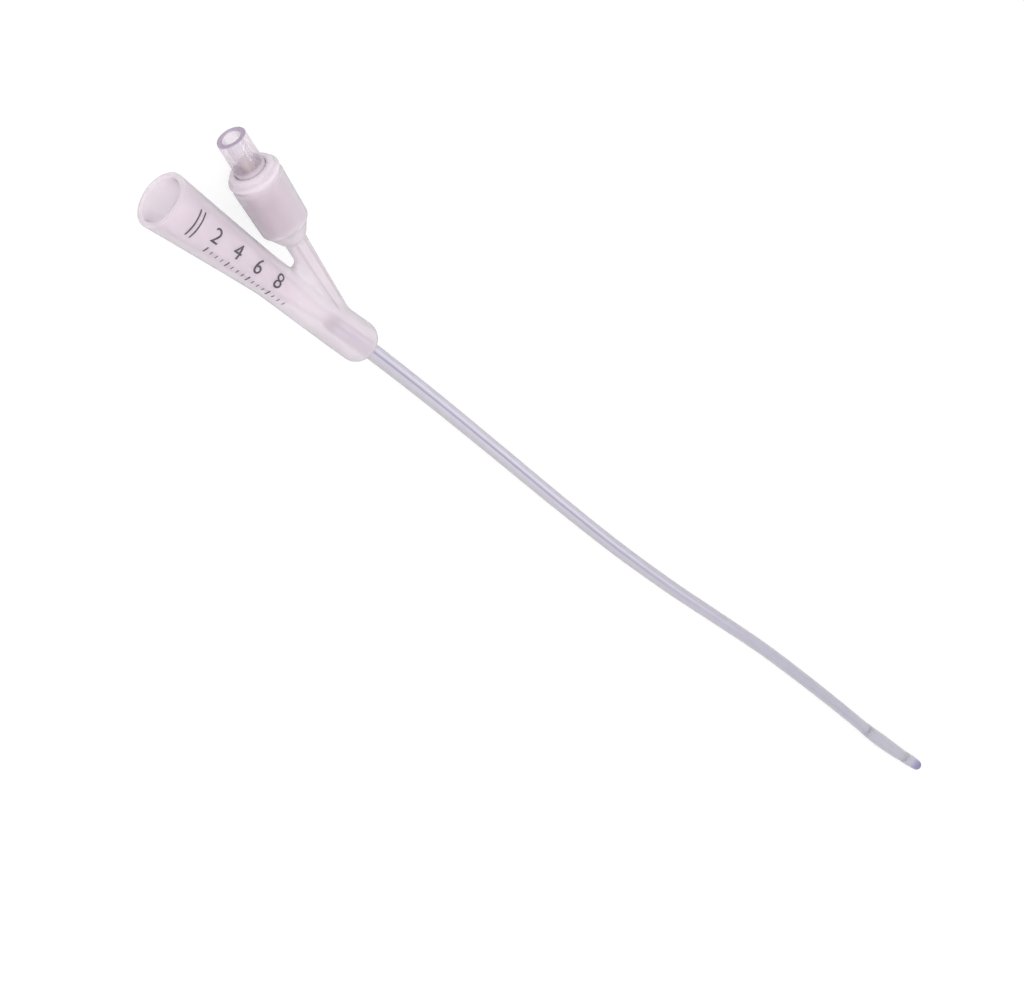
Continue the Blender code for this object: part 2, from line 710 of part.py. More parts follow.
def seat_on_floor(parts, root):
    """Moves the whole part so that the middle of its base is at the origin."""
    bpy.context.view_layer.update()
    graph = bpy.context.evaluated_depsgraph_get()
    low, high = Vector((1, 1, 1)), Vector((-1, -1, -1))
    for obj in parts:
        done = obj.evaluated_get(graph)
        mesh = done.to_mesh()
        for vertex in mesh.vertices:
            place = done.matrix_world @ vertex.co
            low = Vector(map(min, low, place))
            high = Vector(map(max, high, place))
        done.to_mesh_clear()
    root.location = (-(low.x + high.x) / 2, -(low.y + high.y) / 2, -low.z)


clear_scene()
PARTS = new_collection(COLLECTION)
CUTTERS = new_collection(COLLECTION + "_cutters", helper=True)
FLOOR = frame_empty("catheter_root", (0, 0, 0), (0, 0, 0), scale=MM)
MOULDING = frame_empty("moulding_axis", (0, 0, MOUTH_RADIUS), (0, PITCH, 0), FLOOR)
ARM = frame_empty(
    "arm_axis",
    (
        ARM_MEETS_AT - LUER_MOUTH_FROM_MEETING * math.cos(ARM_ANGLE),
        LUER_MOUTH_FROM_MEETING * math.sin(ARM_ANGLE),
        0,
    ),
    (0, 0, -ARM_ANGLE),
    MOULDING,
)

SILICONE = material("moulded_silicone", (0.80, 0.74, 0.79), 0.35)
TUBE = material("extruded_silicone", (0.70, 0.67, 0.76), 0.3)
BALLOON = material("balloon_silicone", (0.68, 0.65, 0.75), 0.4)
TIP = material("tip_silicone", (0.55, 0.50, 0.68), 0.35)
CLEAR = material("clear_plastic", (0.86, 0.82, 0.88), 0.1)
BEIGE = material("plunger_plastic", (0.62, 0.52, 0.50), 0.45)
RUBBER = material("seal_rubber", (0.12, 0.12, 0.13), 0.6)
STEEL = material("spring_steel", (0.65, 0.65, 0.68), 0.25, 1.0)
WHITE = material("retainer_plastic", (0.85, 0.84, 0.82), 0.4)

pieces = [
    build_moulding(SILICONE),
    build_shaft(TUBE),
    build_balloon(BALLOON),
    build_tip(TIP),
    build_valve_body(CLEAR),
    build_plunger(BEIGE),
    build_seal(RUBBER),
    build_spring(STEEL),
    build_retainer(WHITE),
]
seat_on_floor(pieces, FLOOR)
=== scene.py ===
"""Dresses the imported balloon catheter: frosted silicone, a clear valve, a printed scale and a stage.

Pieces are modelled in millimetres, in the frame of the part that they belong to, and are then
placed in metres. X runs from the drainage funnel's mouth towards the tip, and +Z is up.
"""

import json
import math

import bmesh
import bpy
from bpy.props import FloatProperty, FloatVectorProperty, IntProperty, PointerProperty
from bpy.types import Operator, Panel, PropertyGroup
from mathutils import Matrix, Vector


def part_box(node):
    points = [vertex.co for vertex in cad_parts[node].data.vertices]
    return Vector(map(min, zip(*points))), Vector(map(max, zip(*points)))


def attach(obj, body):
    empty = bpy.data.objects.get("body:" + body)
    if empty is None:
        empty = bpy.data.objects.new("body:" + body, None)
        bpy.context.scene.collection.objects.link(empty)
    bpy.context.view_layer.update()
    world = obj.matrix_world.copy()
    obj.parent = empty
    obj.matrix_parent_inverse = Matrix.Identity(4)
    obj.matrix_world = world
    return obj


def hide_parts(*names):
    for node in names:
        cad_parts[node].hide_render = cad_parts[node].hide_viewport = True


bl_info = {
    "name": "Balloon Catheter Looks",
    "version": (1, 0, 0),
    "blender": (4, 5, 0),
    "location": "View3D > Sidebar > Catheter",
    "description": "Builds a balloon catheter's silicone skins, clear valve, print and stage",
    "category": "Object",
}

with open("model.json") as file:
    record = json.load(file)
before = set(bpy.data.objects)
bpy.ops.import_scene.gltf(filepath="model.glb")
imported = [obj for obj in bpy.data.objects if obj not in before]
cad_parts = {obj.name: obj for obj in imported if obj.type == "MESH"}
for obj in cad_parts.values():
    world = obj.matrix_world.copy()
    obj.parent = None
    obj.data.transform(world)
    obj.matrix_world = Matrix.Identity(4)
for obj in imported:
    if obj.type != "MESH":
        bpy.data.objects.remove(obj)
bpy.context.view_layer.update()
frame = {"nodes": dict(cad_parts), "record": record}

MM = 0.001
UP = Vector((0, 0, 1))

# How far a cutting shape runs past the surface that it opens.
CUT_PAST = 0.5

# Silicone moulding, along the funnel's axis from its mouth.
MOULDING_LENGTH = 68.1
MOUTH_RADIUS = 6.4
MOUTH_LIP = 0.35
MOUTH_FLARE = 0.12
FUNNEL_WALL = 1.3
RIM_MIDDLE = 5.575
WAIST_RADIUS = 4.4
WAIST_WALL = 1.4
WAIST_AT = 34.0
WAIST_POINTS = 28
SHOULDER_RADIUS = 5.0
SHOULDER_ROUND = 4.4
SHOULDER_AT = MOULDING_LENGTH - 1.6 * SHOULDER_ROUND
SHOULDER_GAP = 0.1
THROAT_LENGTH = 12.0
THROAT_RADIUS = 2.32
SEAT_RADIUS = 1.22
SOCKET_DEPTH = 13.8
SOCKET_AT = MOULDING_LENGTH - SOCKET_DEPTH
SOCKET_STEP = 0.6
SOCKET_GAP = 0.04

# Extruded shaft, and what is bonded to its end.
SHAFT_RADIUS = 2.0
SHAFT_LENGTH = 333.8
SHAFT_START = 0.3 - SOCKET_DEPTH
SHAFT_SIDES = 64
SHAFT_STEP = 2.0
MAIN_LUMEN_RADIUS = 1.12
MAIN_LUMEN_OFFSET = 0.42
SMALL_LUMEN_RADIUS = 0.3
SMALL_LUMEN_OFFSET = 1.34
SHAFT_TWIST = math.radians(-24)
# Where round the shaft the lumen's painted shade and the painted highlight beside it run, in turns.
LUMEN_TURN = 0.5
GLINT_TURN = 0.565
DROP_LENGTH = 62.0
LIFT_LENGTH = 40.0
LIFT = 0.38
BALLOON_LENGTH = 36.0
BALLOON_END = SHAFT_LENGTH - 1.0
BALLOON_START = BALLOON_END - BALLOON_LENGTH
BALLOON_STEP = 0.8
BALLOON_RADIUS = 2.36
BALLOON_EDGE = 0.04
BALLOON_GAP = 0.015
TIP_LENGTH = 13.5
TIP_RADIUS = 2.15
TIP_END_RADIUS = 1.95
TIP_LUMEN_LENGTH = 10.0
SOLID_TIP_AT = 8.0
SOLID_TIP_SLOPE = 1.6
SOLID_TIP_BLUR = 1.2
EYE_LENGTH = 3.2
EYE_WIDTH = 1.7
EYES = ((2.4, 1), (6.2, -1))

# Inflation arm and valve sleeve, along the arm from the luer mouth.
ARM_ANGLE = math.radians(17.5)
ARM_MEETS_AT = 65.5
LUER_MOUTH_FROM_MEETING = 62.3
LUER_RIM_MIDDLE = 2.75
STEM_LENGTH = 8.4
LIP_LENGTH = 2.6
LIP_RADIUS = 5.9
LIP_BEAD = 0.78
COLLAR_RADIUS = 5.15
COLLAR_BORE = 3.57
GROOVE_AT = STEM_LENGTH + LIP_LENGTH
GROOVE_DEPTH = 0.3
GROOVE_LENGTH = 0.5
SLEEVE_RADIUS = 5.85
SLEEVE_END_RADIUS = 5.6
SLEEVE_END = STEM_LENGTH + 15.4
SLEEVE_CONE = 4.6
SLEEVE_BORE = 4.5
SLEEVE_BORE_TAPER = 3.6
SLEEVE_GAP = 0.12
ARM_START = SLEEVE_END + SLEEVE_CONE
ARM_END = LUER_MOUTH_FROM_MEETING - 8.0
ARM_RADIUS = 2.8
ARM_ROOT_RADIUS = 2.1
ARM_BORE_RADIUS = 1.15

# Painted shade of what lies under the milky wall: the channel's two sides as dark lines, and the valve
# under the sleeve, with its shadow, as a dark stripe set towards the shaded side.
CHANNEL_LINE = 0.45
CHANNEL_FADE = (ARM_END - 5, ARM_END - 7)
VALVE_STRIPE = 4.6
VALVE_STRIPE_ENDS = (GROOVE_AT + 1, SLEEVE_END + 2)
VALVE_FADE = 3.0
VALVE_ASIDE = 2.4
VALVE_SHADE = 0.35

# How far past its own radius a wall's points may lie: in the channel, in a bore, and outside.
NEAR_CHANNEL = 0.25
NEAR_BORE = 0.5
NEAR_OUTSIDE = 0.6

# The web that fills the fork, and the round of its crotch.
CROTCH_AT = 36.7
CROTCH_ASIDE = 5.33
CROTCH_ROUND = 1.07
WEB_RADIUS = 1.9
WEB_END_RADIUS = 4.0

# Where the fork's extra smoothing goes from none to full: at the crotch and at the shoulder
# along the moulding, to the arm's side of the funnel's axis, and off the channel's axis.
BLEND_AT_CROTCH = (CROTCH_AT - 2, CROTCH_AT)
BLEND_AT_SHOULDER = (ARM_MEETS_AT + 1, ARM_MEETS_AT - 7)
BLEND_ASIDE = (1.5, 3.0)
BLEND_OFF_CHANNEL = (1.5, 1.9)

# Clear luer stem and valve body, with its plunger.
FLANGE_AT = STEM_LENGTH + 0.35 * LIP_LENGTH
BODY_END = FLANGE_AT + 14.6
BODY_RADIUS = 4.38
BODY_RELIEF = 0.25
FLANGE_LENGTH = 1.4
STEM_RADIUS = 3.3
STEM_BASE_RADIUS = 3.45
STEM_EDGE = 0.25
LUER_RADIUS = 2.15
LUER_EDGE = 0.2
LUER_TAPER = 0.03
LUER_DEPTH = 8.6
CHAMBER_AT = FLANGE_AT + 2.3
CHAMBER_RADIUS = 3.2
SEAT_LAND = 1.4
PLUNGER_DEPTH = 6.0
PLUNGER_RADIUS = 1.35
PLUNGER_FLUTES = 4
PLUNGER_FLUTE_DEPTH = 0.4
HEAD_AT = CHAMBER_AT + 1.22
HEAD_END = HEAD_AT + 1.4
HEAD_RADIUS = 2.7
HEAD_EDGE = 0.1
GUIDE_RADIUS = 1.0
GUIDE_LENGTH = 2.2

# How deep the clear plastic looks along the luer bore, where its rim is 1, how much that adds to
# the rim's opacity, and how far up the sleeve's silicone clouds it, on its outside and in its bore.
BORE_DEPTH = 0.65
RIM_OPACITY = 0.6
STEM_MILKY_LENGTH = 1.3
STEM_CLEAR_END = 0.4

# The shaft's route from above, past the shoulder: distance, and drift to the arm's side.
ROUTE = (
    (0, 0.0), (15, -0.4), (33, -1.0), (58, -2.15), (88, -3.75), (121, -5.1), (153, -5.5),
    (183, -5.15), (213, -4.9), (243, -5.5), (273, -6.5), (303, -7.8), (318, -8.05),
    (331, -8.1), (348, -7.7),
)

# Printed scale on the funnel: plain numerals, ticks, and two bands. Bars are length and width.
SCALE_NUMERALS = ("2", "4", "6", "8")
SCALE_START = 12.6
SCALE_STEP = 6.8
SCALE_PARTS = 4
NUMERAL_ASIDE = 0.15
FONT_OVER_NUMERAL = 1.38
TICKS_ASIDE = -0.95
LONG_TICK = (0.34, 1.5)
SHORT_TICK = (0.24, 0.9)
BAND = (0.35, 6.4)
BAND_ASIDE = -0.2
BAND_PLACES = (6.0, 7.3)

# Share of the floor's own white as the camera sees it, how strong that white is, and how far the
# floor reaches each way, in metres.
FLOOR_GLOW = 0.6
FLOOR_WHITE = 1.22
FLOOR_REACH = 3.0

# Soft square lamps: name, place and width in metres, and share of the key light's power.
LAMPS = (
    ("key_lamp", (-0.85, -0.25, 1.2), 1.0, 1.0),
    ("fill_lamp", (0.5, 0.6, 1.1), 0.9, 0.3),
)


def linear(hex_code):
    """An sRGB hex colour as linear red, green and blue."""
    values = [int(hex_code[i:i + 2], 16) / 255 for i in (1, 3, 5)]
    return tuple(v / 12.92 if v <= 0.04045 else ((v + 0.055) / 1.055) ** 2.4 for v in values)


def rising(value, start, end):
    """0 at the start, 1 at the end, and even between."""
    return min(max((value - start) / (end - start), 0.0), 1.0)


def mount(name):
    return next(item for item in frame["record"]["mounts"] if item["name"] == name)


def axis_frame(face, reach):
    """A millimetre frame on a mouth's axis, X running inwards. The mount lies reach above it."""
    ahead = -Vector(face["axis"]).normalized()
    top = (-Vector(mount("drainage_mouth")["axis"])).cross(Vector((0, 1, 0))).normalized()
    side = top.cross(ahead)
    turn = Matrix((ahead, side, top)).transposed().to_4x4()
    start = Vector(face["pos_m"]) - top * reach * MM
    return Matrix.Translation(start) @ turn @ Matrix.Scale(MM, 4)


SHAFT_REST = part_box("shaft_tube")[0].z / MM + SHAFT_RADIUS
MOULDING_FRAME = axis_frame(mount("drainage_mouth"), RIM_MIDDLE)
ARM_FRAME = axis_frame(mount("luer_mouth"), LUER_RIM_MIDDLE)
ARM_IN_MOULDING = MOULDING_FRAME.inverted() @ ARM_FRAME
MOULDING_IN_ARM = ARM_IN_MOULDING.inverted()


def colour(name, description, hex_code):
    return FloatVectorProperty(
        name=name, description=description, subtype="COLOR", size=3, min=0, max=1,
        default=linear(hex_code),
    )


def length(name, description, default, least):
    return FloatProperty(
        name=name, description=description, unit="LENGTH", default=default, min=least,
        precision=5,
    )


class CatheterColours(PropertyGroup):
    """Colours of the silicone, the valve and the print, with painted shade and a painted highlight on
    the silicone.
    """

    moulding: colour("Moulding", "Frosted silicone of the funnel and arm", "#E2D6DF")
    # Painted shade: the grey that the moulding turns to at its edges.
    moulding_edge_shade: colour(
        "Moulding's edge", "Frosted silicone where the eye meets its edge", "#B9B6BA"
    )
    # Painted shade: the darker colour of the channel's walls and the valve's shadow, seen through the
    # arm and sleeve.
    bore: colour("Channel", "Wall of the inflation channel, seen through the arm", "#B9ACB4")
    shaft: colour("Shaft", "Extruded silicone of the shaft", "#D2CEDE")
    # Painted shade: darker than the shaft's near colour, standing in for the light falling off towards
    # the tip; the balloon and the tip's hollow part take it too.
    shaft_far_shade: colour("Shaft's far end", "Extruded and dipped silicone by the tip", "#BEBACD")
    # Painted shade: the solid wall away from the main lumen is greyer, where less light passes
    # through.
    shaft_side_shade: colour("Shaft's side", "Solid wall beside the shaft's main lumen", "#CECBCF")
    # Painted shade: the grey that the shaft, balloon and tip turn to at their edges.
    shaft_edge_shade: colour(
        "Shaft's edge", "Silicone of the shaft where the eye meets its edge", "#B0AFB1"
    )
    # Painted shade: the dark thread that the small lumen shows through the wall.
    lumen: colour("Lumen line", "The inflation lumen, seen through the shaft's wall", "#ABA7B8")
    tip_start: colour("Tip's start", "Silicone where the tip turns solid", "#A39DBF")
    tip: colour("Tip", "Solid silicone of the tip's round end", "#7B749F")
    stem: colour("Stem", "Clear plastic of the luer stem", "#E8DBE6")
    stem_depth: colour(
        "Stem's depth", "Clear plastic where the eye looks down its wall", "#AA98B0"
    )
    plunger: colour("Plunger", "Plastic of the valve's plunger", "#CFC3BF")
    ink: colour("Ink", "Printed scale", "#4B454D")


class CatheterSizes(PropertyGroup):
    """Fineness of the skins, and the print's sizes."""

    skin_voxel: length("Skin voxel", "Cell size of the moulding's soft skin", 0.00026, 0.0002)
    tip_voxel: length("Tip voxel", "Cell size of the tip's soft skin", 0.00012, 0.0001)
    fork_rounds: IntProperty(
        name="Fork smoothing", description="Rounds of smoothing that blend the fork",
        default=60, min=0, max=200,
    )
    sides: IntProperty(
        name="Sides", description="Sides of a turned piece", default=96, min=24, max=192,
    )
    numeral_height: length("Numeral height", "Height of the printed numerals", 0.0036, 0.001)
    ink_film: length(
        "Ink film", "Thickness of the ink, drawn thicker than real", 0.00003, 0.00001
    )


class StageSettings(PropertyGroup):
    """Camera and light."""

    lens: FloatProperty(
        name="Lens", description="Focal length of the camera", unit="CAMERA", default=59.77,
    )
    camera_place: FloatVectorProperty(
        name="Camera", description="Where the camera stands", subtype="TRANSLATION",
        size=3, default=(-0.396717, -0.026053, 0.304525),
    )
    camera_aim: FloatVectorProperty(
        name="Aim", description="The point on the floor in the middle of the view",
        subtype="TRANSLATION", size=3, default=(-0.065548, -0.01456, 0.0),
    )
    camera_roll: FloatProperty(
        name="Roll", description="Turn of the camera about its own line of sight",
        subtype="ANGLE", default=math.radians(121.25),
    )
    key_power: FloatProperty(
        name="Key light", description="Power of the large soft lamp", unit="POWER",
        default=9.0, min=0,
    )
    room_level: FloatProperty(
        name="Room", description="Light from all round", default=0.8, min=0, max=1,
    )


def add_node(tree, kind, inputs=None, **settings):
    """Adds a shader node with its settings. Each input is a plain value or a node's output."""
    node = tree.nodes.new("ShaderNode" + kind)
    for name, value in settings.items():
        setattr(node, name, value)
    for name, value in (inputs or {}).items():
        socket = node.inputs[name]
        if isinstance(value, bpy.types.NodeSocket):
            tree.links.new(value, socket)
        else:
            socket.default_value = (*value, 1) if socket.type == "RGBA" else value
    return node


def new_material(name):
    """An empty material with its tree and its Principled shader."""
    made = bpy.data.materials.new(name)
    made.use_nodes = True
    tree = made.node_tree
    tree.nodes.clear()
    shader = add_node(tree, "BsdfPrincipled")
    add_node(tree, "OutputMaterial", {"Surface": shader.outputs["BSDF"]})
    return made, tree, shader


def finish(tree, shader, wall, relief=None, relief_mm=0.0, **values):
    """Gives a shader its wall colour, its relief of a depth in millimetres, and plain values."""
    tree.links.new(wall, shader.inputs["Base Color"])
    for name, value in values.items():
        shader.inputs[name.replace("_", " ")].default_value = value
    if relief is not None:
        lifted = add_node(tree, "Bump", {"Height": relief, "Distance": relief_mm * MM})
        tree.links.new(lifted.outputs["Normal"], shader.inputs["Normal"])


def grain(tree, size_mm, detail=2.0, stretch=(1, 1, 1), vector=None):
    """Noise whose cells are about size_mm across, in real size."""
    if vector is None:
        vector = add_node(tree, "TexCoord").outputs["Object"]
    scaled = add_node(tree, "Mapping", {"Vector": vector, "Scale": stretch})
    return add_node(tree, "TexNoise", {
        "Vector": scaled.outputs["Vector"], "Scale": 1.0 / (size_mm * MM), "Detail": detail,
    }).outputs["Fac"]


def graded(tree, value, start, end, under, over, curve="LINEAR", most=1.0):
    """One colour turning to another, at most by a share, as a value goes from start to end."""
    share = add_node(
        tree, "MapRange",
        {"Value": value, "From Min": start, "From Max": end, "To Max": most},
        interpolation_type=curve,
    ).outputs["Result"]
    return add_node(
        tree, "Mix", {"Factor": share, "A": under, "B": over}, data_type="RGBA"
    ).outputs["Result"]


def shade(base, factor):
    return tuple(min(1.0, channel * factor) for channel in base)


def mottled(tree, noise, base, dark, light):
    """A colour that is darker in the noise's hollows and lighter on its heights."""
    return graded(tree, noise, 0.3, 0.7, shade(base, dark), shade(base, light))


def painted_edge_shade(tree, wall, edge):
    """Painted edge shade: the wall's colour turning grey where the eye meets more of the wall, at its
    rims.
    """
    slant = add_node(tree, "LayerWeight", {"Blend": 0.2}).outputs["Facing"]
    return graded(tree, slant, 0.06, 0.66, wall, edge, "SMOOTHSTEP")


def striped(tree, turn, middle, half_width, wall, line, most=1.0):
    """The wall with a soft line of another colour along it, at one place of its turn."""
    away = add_node(tree, "Math", {0: turn, 1: middle}, operation="SUBTRACT")
    size = add_node(tree, "Math", {0: away.outputs["Value"]}, operation="ABSOLUTE")
    return graded(
        tree, size.outputs["Value"], half_width, 0.3 * half_width, wall, line, "SMOOTHSTEP",
        most,
    )


def slanted(tree, facing, grazing, spread=0.35):
    """Opacity of a clear or milky wall: low seen straight on, and high along the wall, where
    the eye looks through more of it. That draws each rim, bore and edge as a denser line."""
    slant = add_node(tree, "LayerWeight", {"Blend": spread}).outputs["Facing"]
    return add_node(
        tree, "MapRange", {"Value": slant, "To Min": facing, "To Max": grazing}
    ).outputs["Result"]


def see_through(tree, shader, opacity, dimming):
    """Sets the opacity that the eye sees, and lets light through: a shadow is only dimmed,
    because milky silicone scatters most light onward."""
    shadow = add_node(tree, "LightPath").outputs["Is Shadow Ray"]
    kept = add_node(
        tree, "MapRange", {"Value": shadow, "To Min": 1.0, "To Max": dimming}
    ).outputs["Result"]
    seen = add_node(tree, "Math", {0: opacity, 1: kept}, operation="MULTIPLY")
    tree.links.new(seen.outputs["Value"], shader.inputs["Alpha"])


def moulded_silicone():
    """Platinum-cured silicone, injection moulded in a fine-blasted tool: milky, with a soft
    satin skin and faint clouds where the wall's thickness changes."""
    colours = bpy.context.scene.catheter_colours
    made, tree, shader = new_material("Silicone rubber, moulded and frosted")
    inside, shown, lip = (
        add_node(tree, "Attribute", attribute_name=name).outputs["Fac"]
        for name in ("inside", "shown", "lip")
    )
    wall = mottled(tree, grain(tree, 9.0, 1.0), colours.moulding, 0.965, 1.02)
    # Painted shade: the wall turns grey at its edges.
    edge_shaded = painted_edge_shade(tree, wall, colours.moulding_edge_shade)
    # Painted shade: the channel's sides and the valve darken the wall towards the channel colour.
    # The tool's blasting is about 0.05 mm, drawn at 0.3 mm so that it shows.
    finish(
        tree, shader, graded(tree, shown, 0, 1, edge_shaded, colours.bore), grain(tree, 0.3), 0.012,
        Roughness=0.24, IOR=1.41, Subsurface_Weight=1.0, Subsurface_Scale=0.002,
        Subsurface_Radius=(1.0, 0.93, 0.98),
    )
    facing = add_node(tree, "MapRange", {"Value": inside, "To Min": 0.36, "To Max": 0.04})
    opacity = add_node(
        tree, "Math", {0: lip, 1: 0.4, 2: slanted(tree, facing.outputs["Result"], 0.96)},
        operation="MULTIPLY_ADD", use_clamp=True,
    )
    see_through(tree, shader, opacity.outputs["Value"], 0.35)
    return made


def extruded_silicone():
    """Silicone extruded through a die: smoother than the moulding, with faint lines along the
    pull. The small lumen is drawn as a painted dark thread of shade beside a painted bright highlight,
    and both fade further on."""
    colours = bpy.context.scene.catheter_colours
    made, tree, shader = new_material("Silicone rubber, extruded")
    around = add_node(tree, "UVMap", uv_map="around").outputs["UV"]
    place = add_node(tree, "SeparateXYZ", {"Vector": around}).outputs
    streaks = grain(tree, 1000.0, 2.0, (12.0, 30.0, 1.0), around)
    # Painted shade: the wall darkens along the shaft towards the tip, where the light falls off.
    near = mottled(tree, streaks, colours.shaft, 0.95, 1.03)
    far = mottled(tree, streaks, colours.shaft_far_shade, 0.95, 1.03)
    hollow = graded(tree, place["X"], 0.05, 0.24, near, far, "SMOOTHSTEP")
    # Painted shade: greyer round the solid sides, lighter over the lumens.
    wall = striped(tree, place["Y"], LUMEN_TURN + 0.05, 0.24, colours.shaft_side_shade, hollow)
    fading = add_node(
        tree, "MapRange", {"Value": place["X"], "From Min": 0.23, "From Max": 0.08},
        interpolation_type="SMOOTHSTEP",
    ).outputs["Result"]
    # Painted shade and a painted highlight: a dark lumen thread and a bright glint beside it.
    glint = shade(colours.shaft, 1.18)
    for middle, line in ((LUMEN_TURN, colours.lumen), (GLINT_TURN, glint)):
        wall = striped(tree, place["Y"], middle, 0.03, wall, line, fading)
    finish(
        tree, shader, painted_edge_shade(tree, wall, colours.shaft_edge_shade), streaks, 0.02,
        Roughness=0.3, IOR=1.41, Subsurface_Weight=1.0, Subsurface_Scale=0.001,
        Subsurface_Radius=(1.0, 0.95, 1.0),
    )
    # It fades out in the socket, so that no hard end shows through the milky funnel.
    opacity = add_node(
        tree, "MapRange", {
            "Value": place["X"], "From Min": -0.0135, "From Max": -0.0115,
            "To Max": slanted(tree, 0.72, 0.98),
        }, interpolation_type="SMOOTHSTEP",
    )
    see_through(tree, shader, opacity.outputs["Result"], 0.6)
    return made


def dipped_silicone():
    """Thin silicone sleeve, dipped and bonded at its ends: slack, with fine lengthwise
    creases where it lies empty on the shaft."""
    colours = bpy.context.scene.catheter_colours
    made, tree, shader = new_material("Silicone rubber, dipped sleeve")
    around = add_node(tree, "UVMap", uv_map="around").outputs["UV"]
    creases = grain(tree, 1000.0, 3.0, (60.0, 9.0, 1.0), around)
    # Painted shade: the sleeve takes the shaft's darkened far-end colour.
    wall = mottled(tree, creases, colours.shaft_far_shade, 0.94, 1.06)
    finish(
        tree, shader, painted_edge_shade(tree, wall, colours.shaft_edge_shade), creases, 0.05,
        Roughness=0.33, IOR=1.41, Subsurface_Weight=1.0, Subsurface_Scale=0.001,
        Subsurface_Radius=(1.0, 0.95, 1.0),
    )
    see_through(tree, shader, slanted(tree, 0.8, 0.98), 0.5)
    return made


def tip_silicone():
    """Silicone moulded on the shaft: hollow, and deeper in colour at its solid round end."""
    colours = bpy.context.scene.catheter_colours
    made, tree, shader = new_material("Silicone rubber, moulded tip")
    # Painted shade: the hollow part is the shaft's darkened far-end colour, darkened further.
    hollow = mottled(tree, grain(tree, 3.0, 1.0), colours.shaft_far_shade, 0.87, 0.93)
    along = add_node(tree, "Attribute", attribute_name="along").outputs["Fac"]
    solid = graded(
        tree, along, SOLID_TIP_AT, TIP_LENGTH, colours.tip_start, colours.tip, "SMOOTHSTEP"
    )
    wall = graded(
        tree, along, SOLID_TIP_AT - SOLID_TIP_BLUR, SOLID_TIP_AT + SOLID_TIP_BLUR,
        painted_edge_shade(tree, hollow, colours.shaft_edge_shade), solid, "SMOOTHSTEP",
    )
    finish(
        tree, shader, wall, grain(tree, 0.25), 0.008,
        Roughness=0.3, IOR=1.41, Subsurface_Weight=0.3, Subsurface_Scale=0.0004,
        Subsurface_Radius=(0.9, 0.85, 1.0),
    )
    see_through(tree, shader, slanted(tree, 0.92, 0.99), 0.5)
    return made


def clear_plastic():
    """Clear copolyester, moulded in a polished tool: glassy, with a faint warm-violet cast."""
    colours = bpy.context.scene.catheter_colours
    made, tree, shader = new_material("Copolyester, clear moulded")
    flow = grain(tree, 4.0, 1.0, (0.4, 1.0, 1.0))
    depth, held = (
        add_node(tree, "Attribute", attribute_name=name).outputs["Fac"]
        for name in ("depth", "held")
    )
    wall = mottled(tree, flow, colours.stem, 0.97, 1.0)
    cast = graded(tree, depth, 0, 1, wall, colours.stem_depth)
    finish(
        tree, shader, graded(tree, held, 0, 1, cast, colours.moulding), flow, 0.01,
        Roughness=0.08, IOR=1.52, Transmission_Weight=0.35,
    )
    rim = add_node(
        tree, "MapRange", {"Value": depth, "From Min": BORE_DEPTH, "To Max": RIM_OPACITY}
    ).outputs["Result"]
    denser = add_node(tree, "Math", {0: rim, 1: held}, operation="MAXIMUM").outputs["Value"]
    opacity = add_node(
        tree, "Math", {0: slanted(tree, 0.2, 0.98, 0.34), 1: denser}, operation="ADD",
        use_clamp=True,
    )
    see_through(tree, shader, opacity.outputs["Value"], 0.3)
    return made


def plunger_plastic():
    """Acetal, moulded and left natural: waxy and slightly warm."""
    base = bpy.context.scene.catheter_colours.plunger
    made, tree, shader = new_material("Acetal, moulded natural")
    finish(
        tree, shader, mottled(tree, grain(tree, 0.8), base, 0.94, 1.03),
        grain(tree, 0.12), 0.004,
        Roughness=0.42, IOR=1.48, Subsurface_Weight=0.4, Subsurface_Scale=0.0005,
    )
    return made


def seal_rubber():
    """Nitrile rubber, moulded: nearly black, with a dull bloom."""
    made, tree, shader = new_material("Nitrile rubber, moulded")
    bloom = grain(tree, 0.5, 3.0)
    wall = graded(tree, bloom, 0.3, 0.7, linear("#2C292D"), linear("#454147"))
    finish(tree, shader, wall, Roughness=0.62, IOR=1.5)
    return made


def spring_steel():
    """Stainless spring wire, cold drawn: bright, with lines round the coil."""
    made, tree, shader = new_material("Stainless steel, drawn wire")
    draw = grain(tree, 0.15, 2.0, (6.0, 1.0, 1.0))
    wall = graded(tree, draw, 0.3, 0.7, linear("#A9A7AC"), linear("#D2D0D4"))
    finish(tree, shader, wall, draw, 0.004, Roughness=0.28, Metallic=1.0)
    return made


def retainer_plastic():
    """Polypropylene, moulded natural: milky white."""
    made, tree, shader = new_material("Polypropylene, moulded natural")
    clouds = grain(tree, 1.2, 1.0)
    wall = graded(tree, clouds, 0.3, 0.7, linear("#DAD6D8"), linear("#E8E4E6"))
    finish(
        tree, shader, wall,
        Roughness=0.45, IOR=1.49, Subsurface_Weight=0.6, Subsurface_Scale=0.001,
    )
    return made


def printed_ink():
    """Solvent ink, pad printed on silicone: matte, and thin in places."""
    base = bpy.context.scene.catheter_colours.ink
    made, tree, shader = new_material("Silicone ink, pad printed")
    wall = graded(tree, grain(tree, 0.35, 3.0), 0.45, 0.75, base, shade(base, 1.9))
    finish(tree, shader, wall, Roughness=0.6, IOR=1.45)
    return made


def looking_rays(tree):
    """1 for what the camera sees, straight on, in gloss or through glass, and 0 for light."""
    rays = add_node(tree, "LightPath").outputs
    seen = rays["Is Camera Ray"]
    for kind in ("Is Glossy Ray", "Is Transmission Ray"):
        seen = add_node(
            tree, "Math", {0: seen, 1: rays[kind]}, operation="MAXIMUM"
        ).outputs["Value"]
    return seen


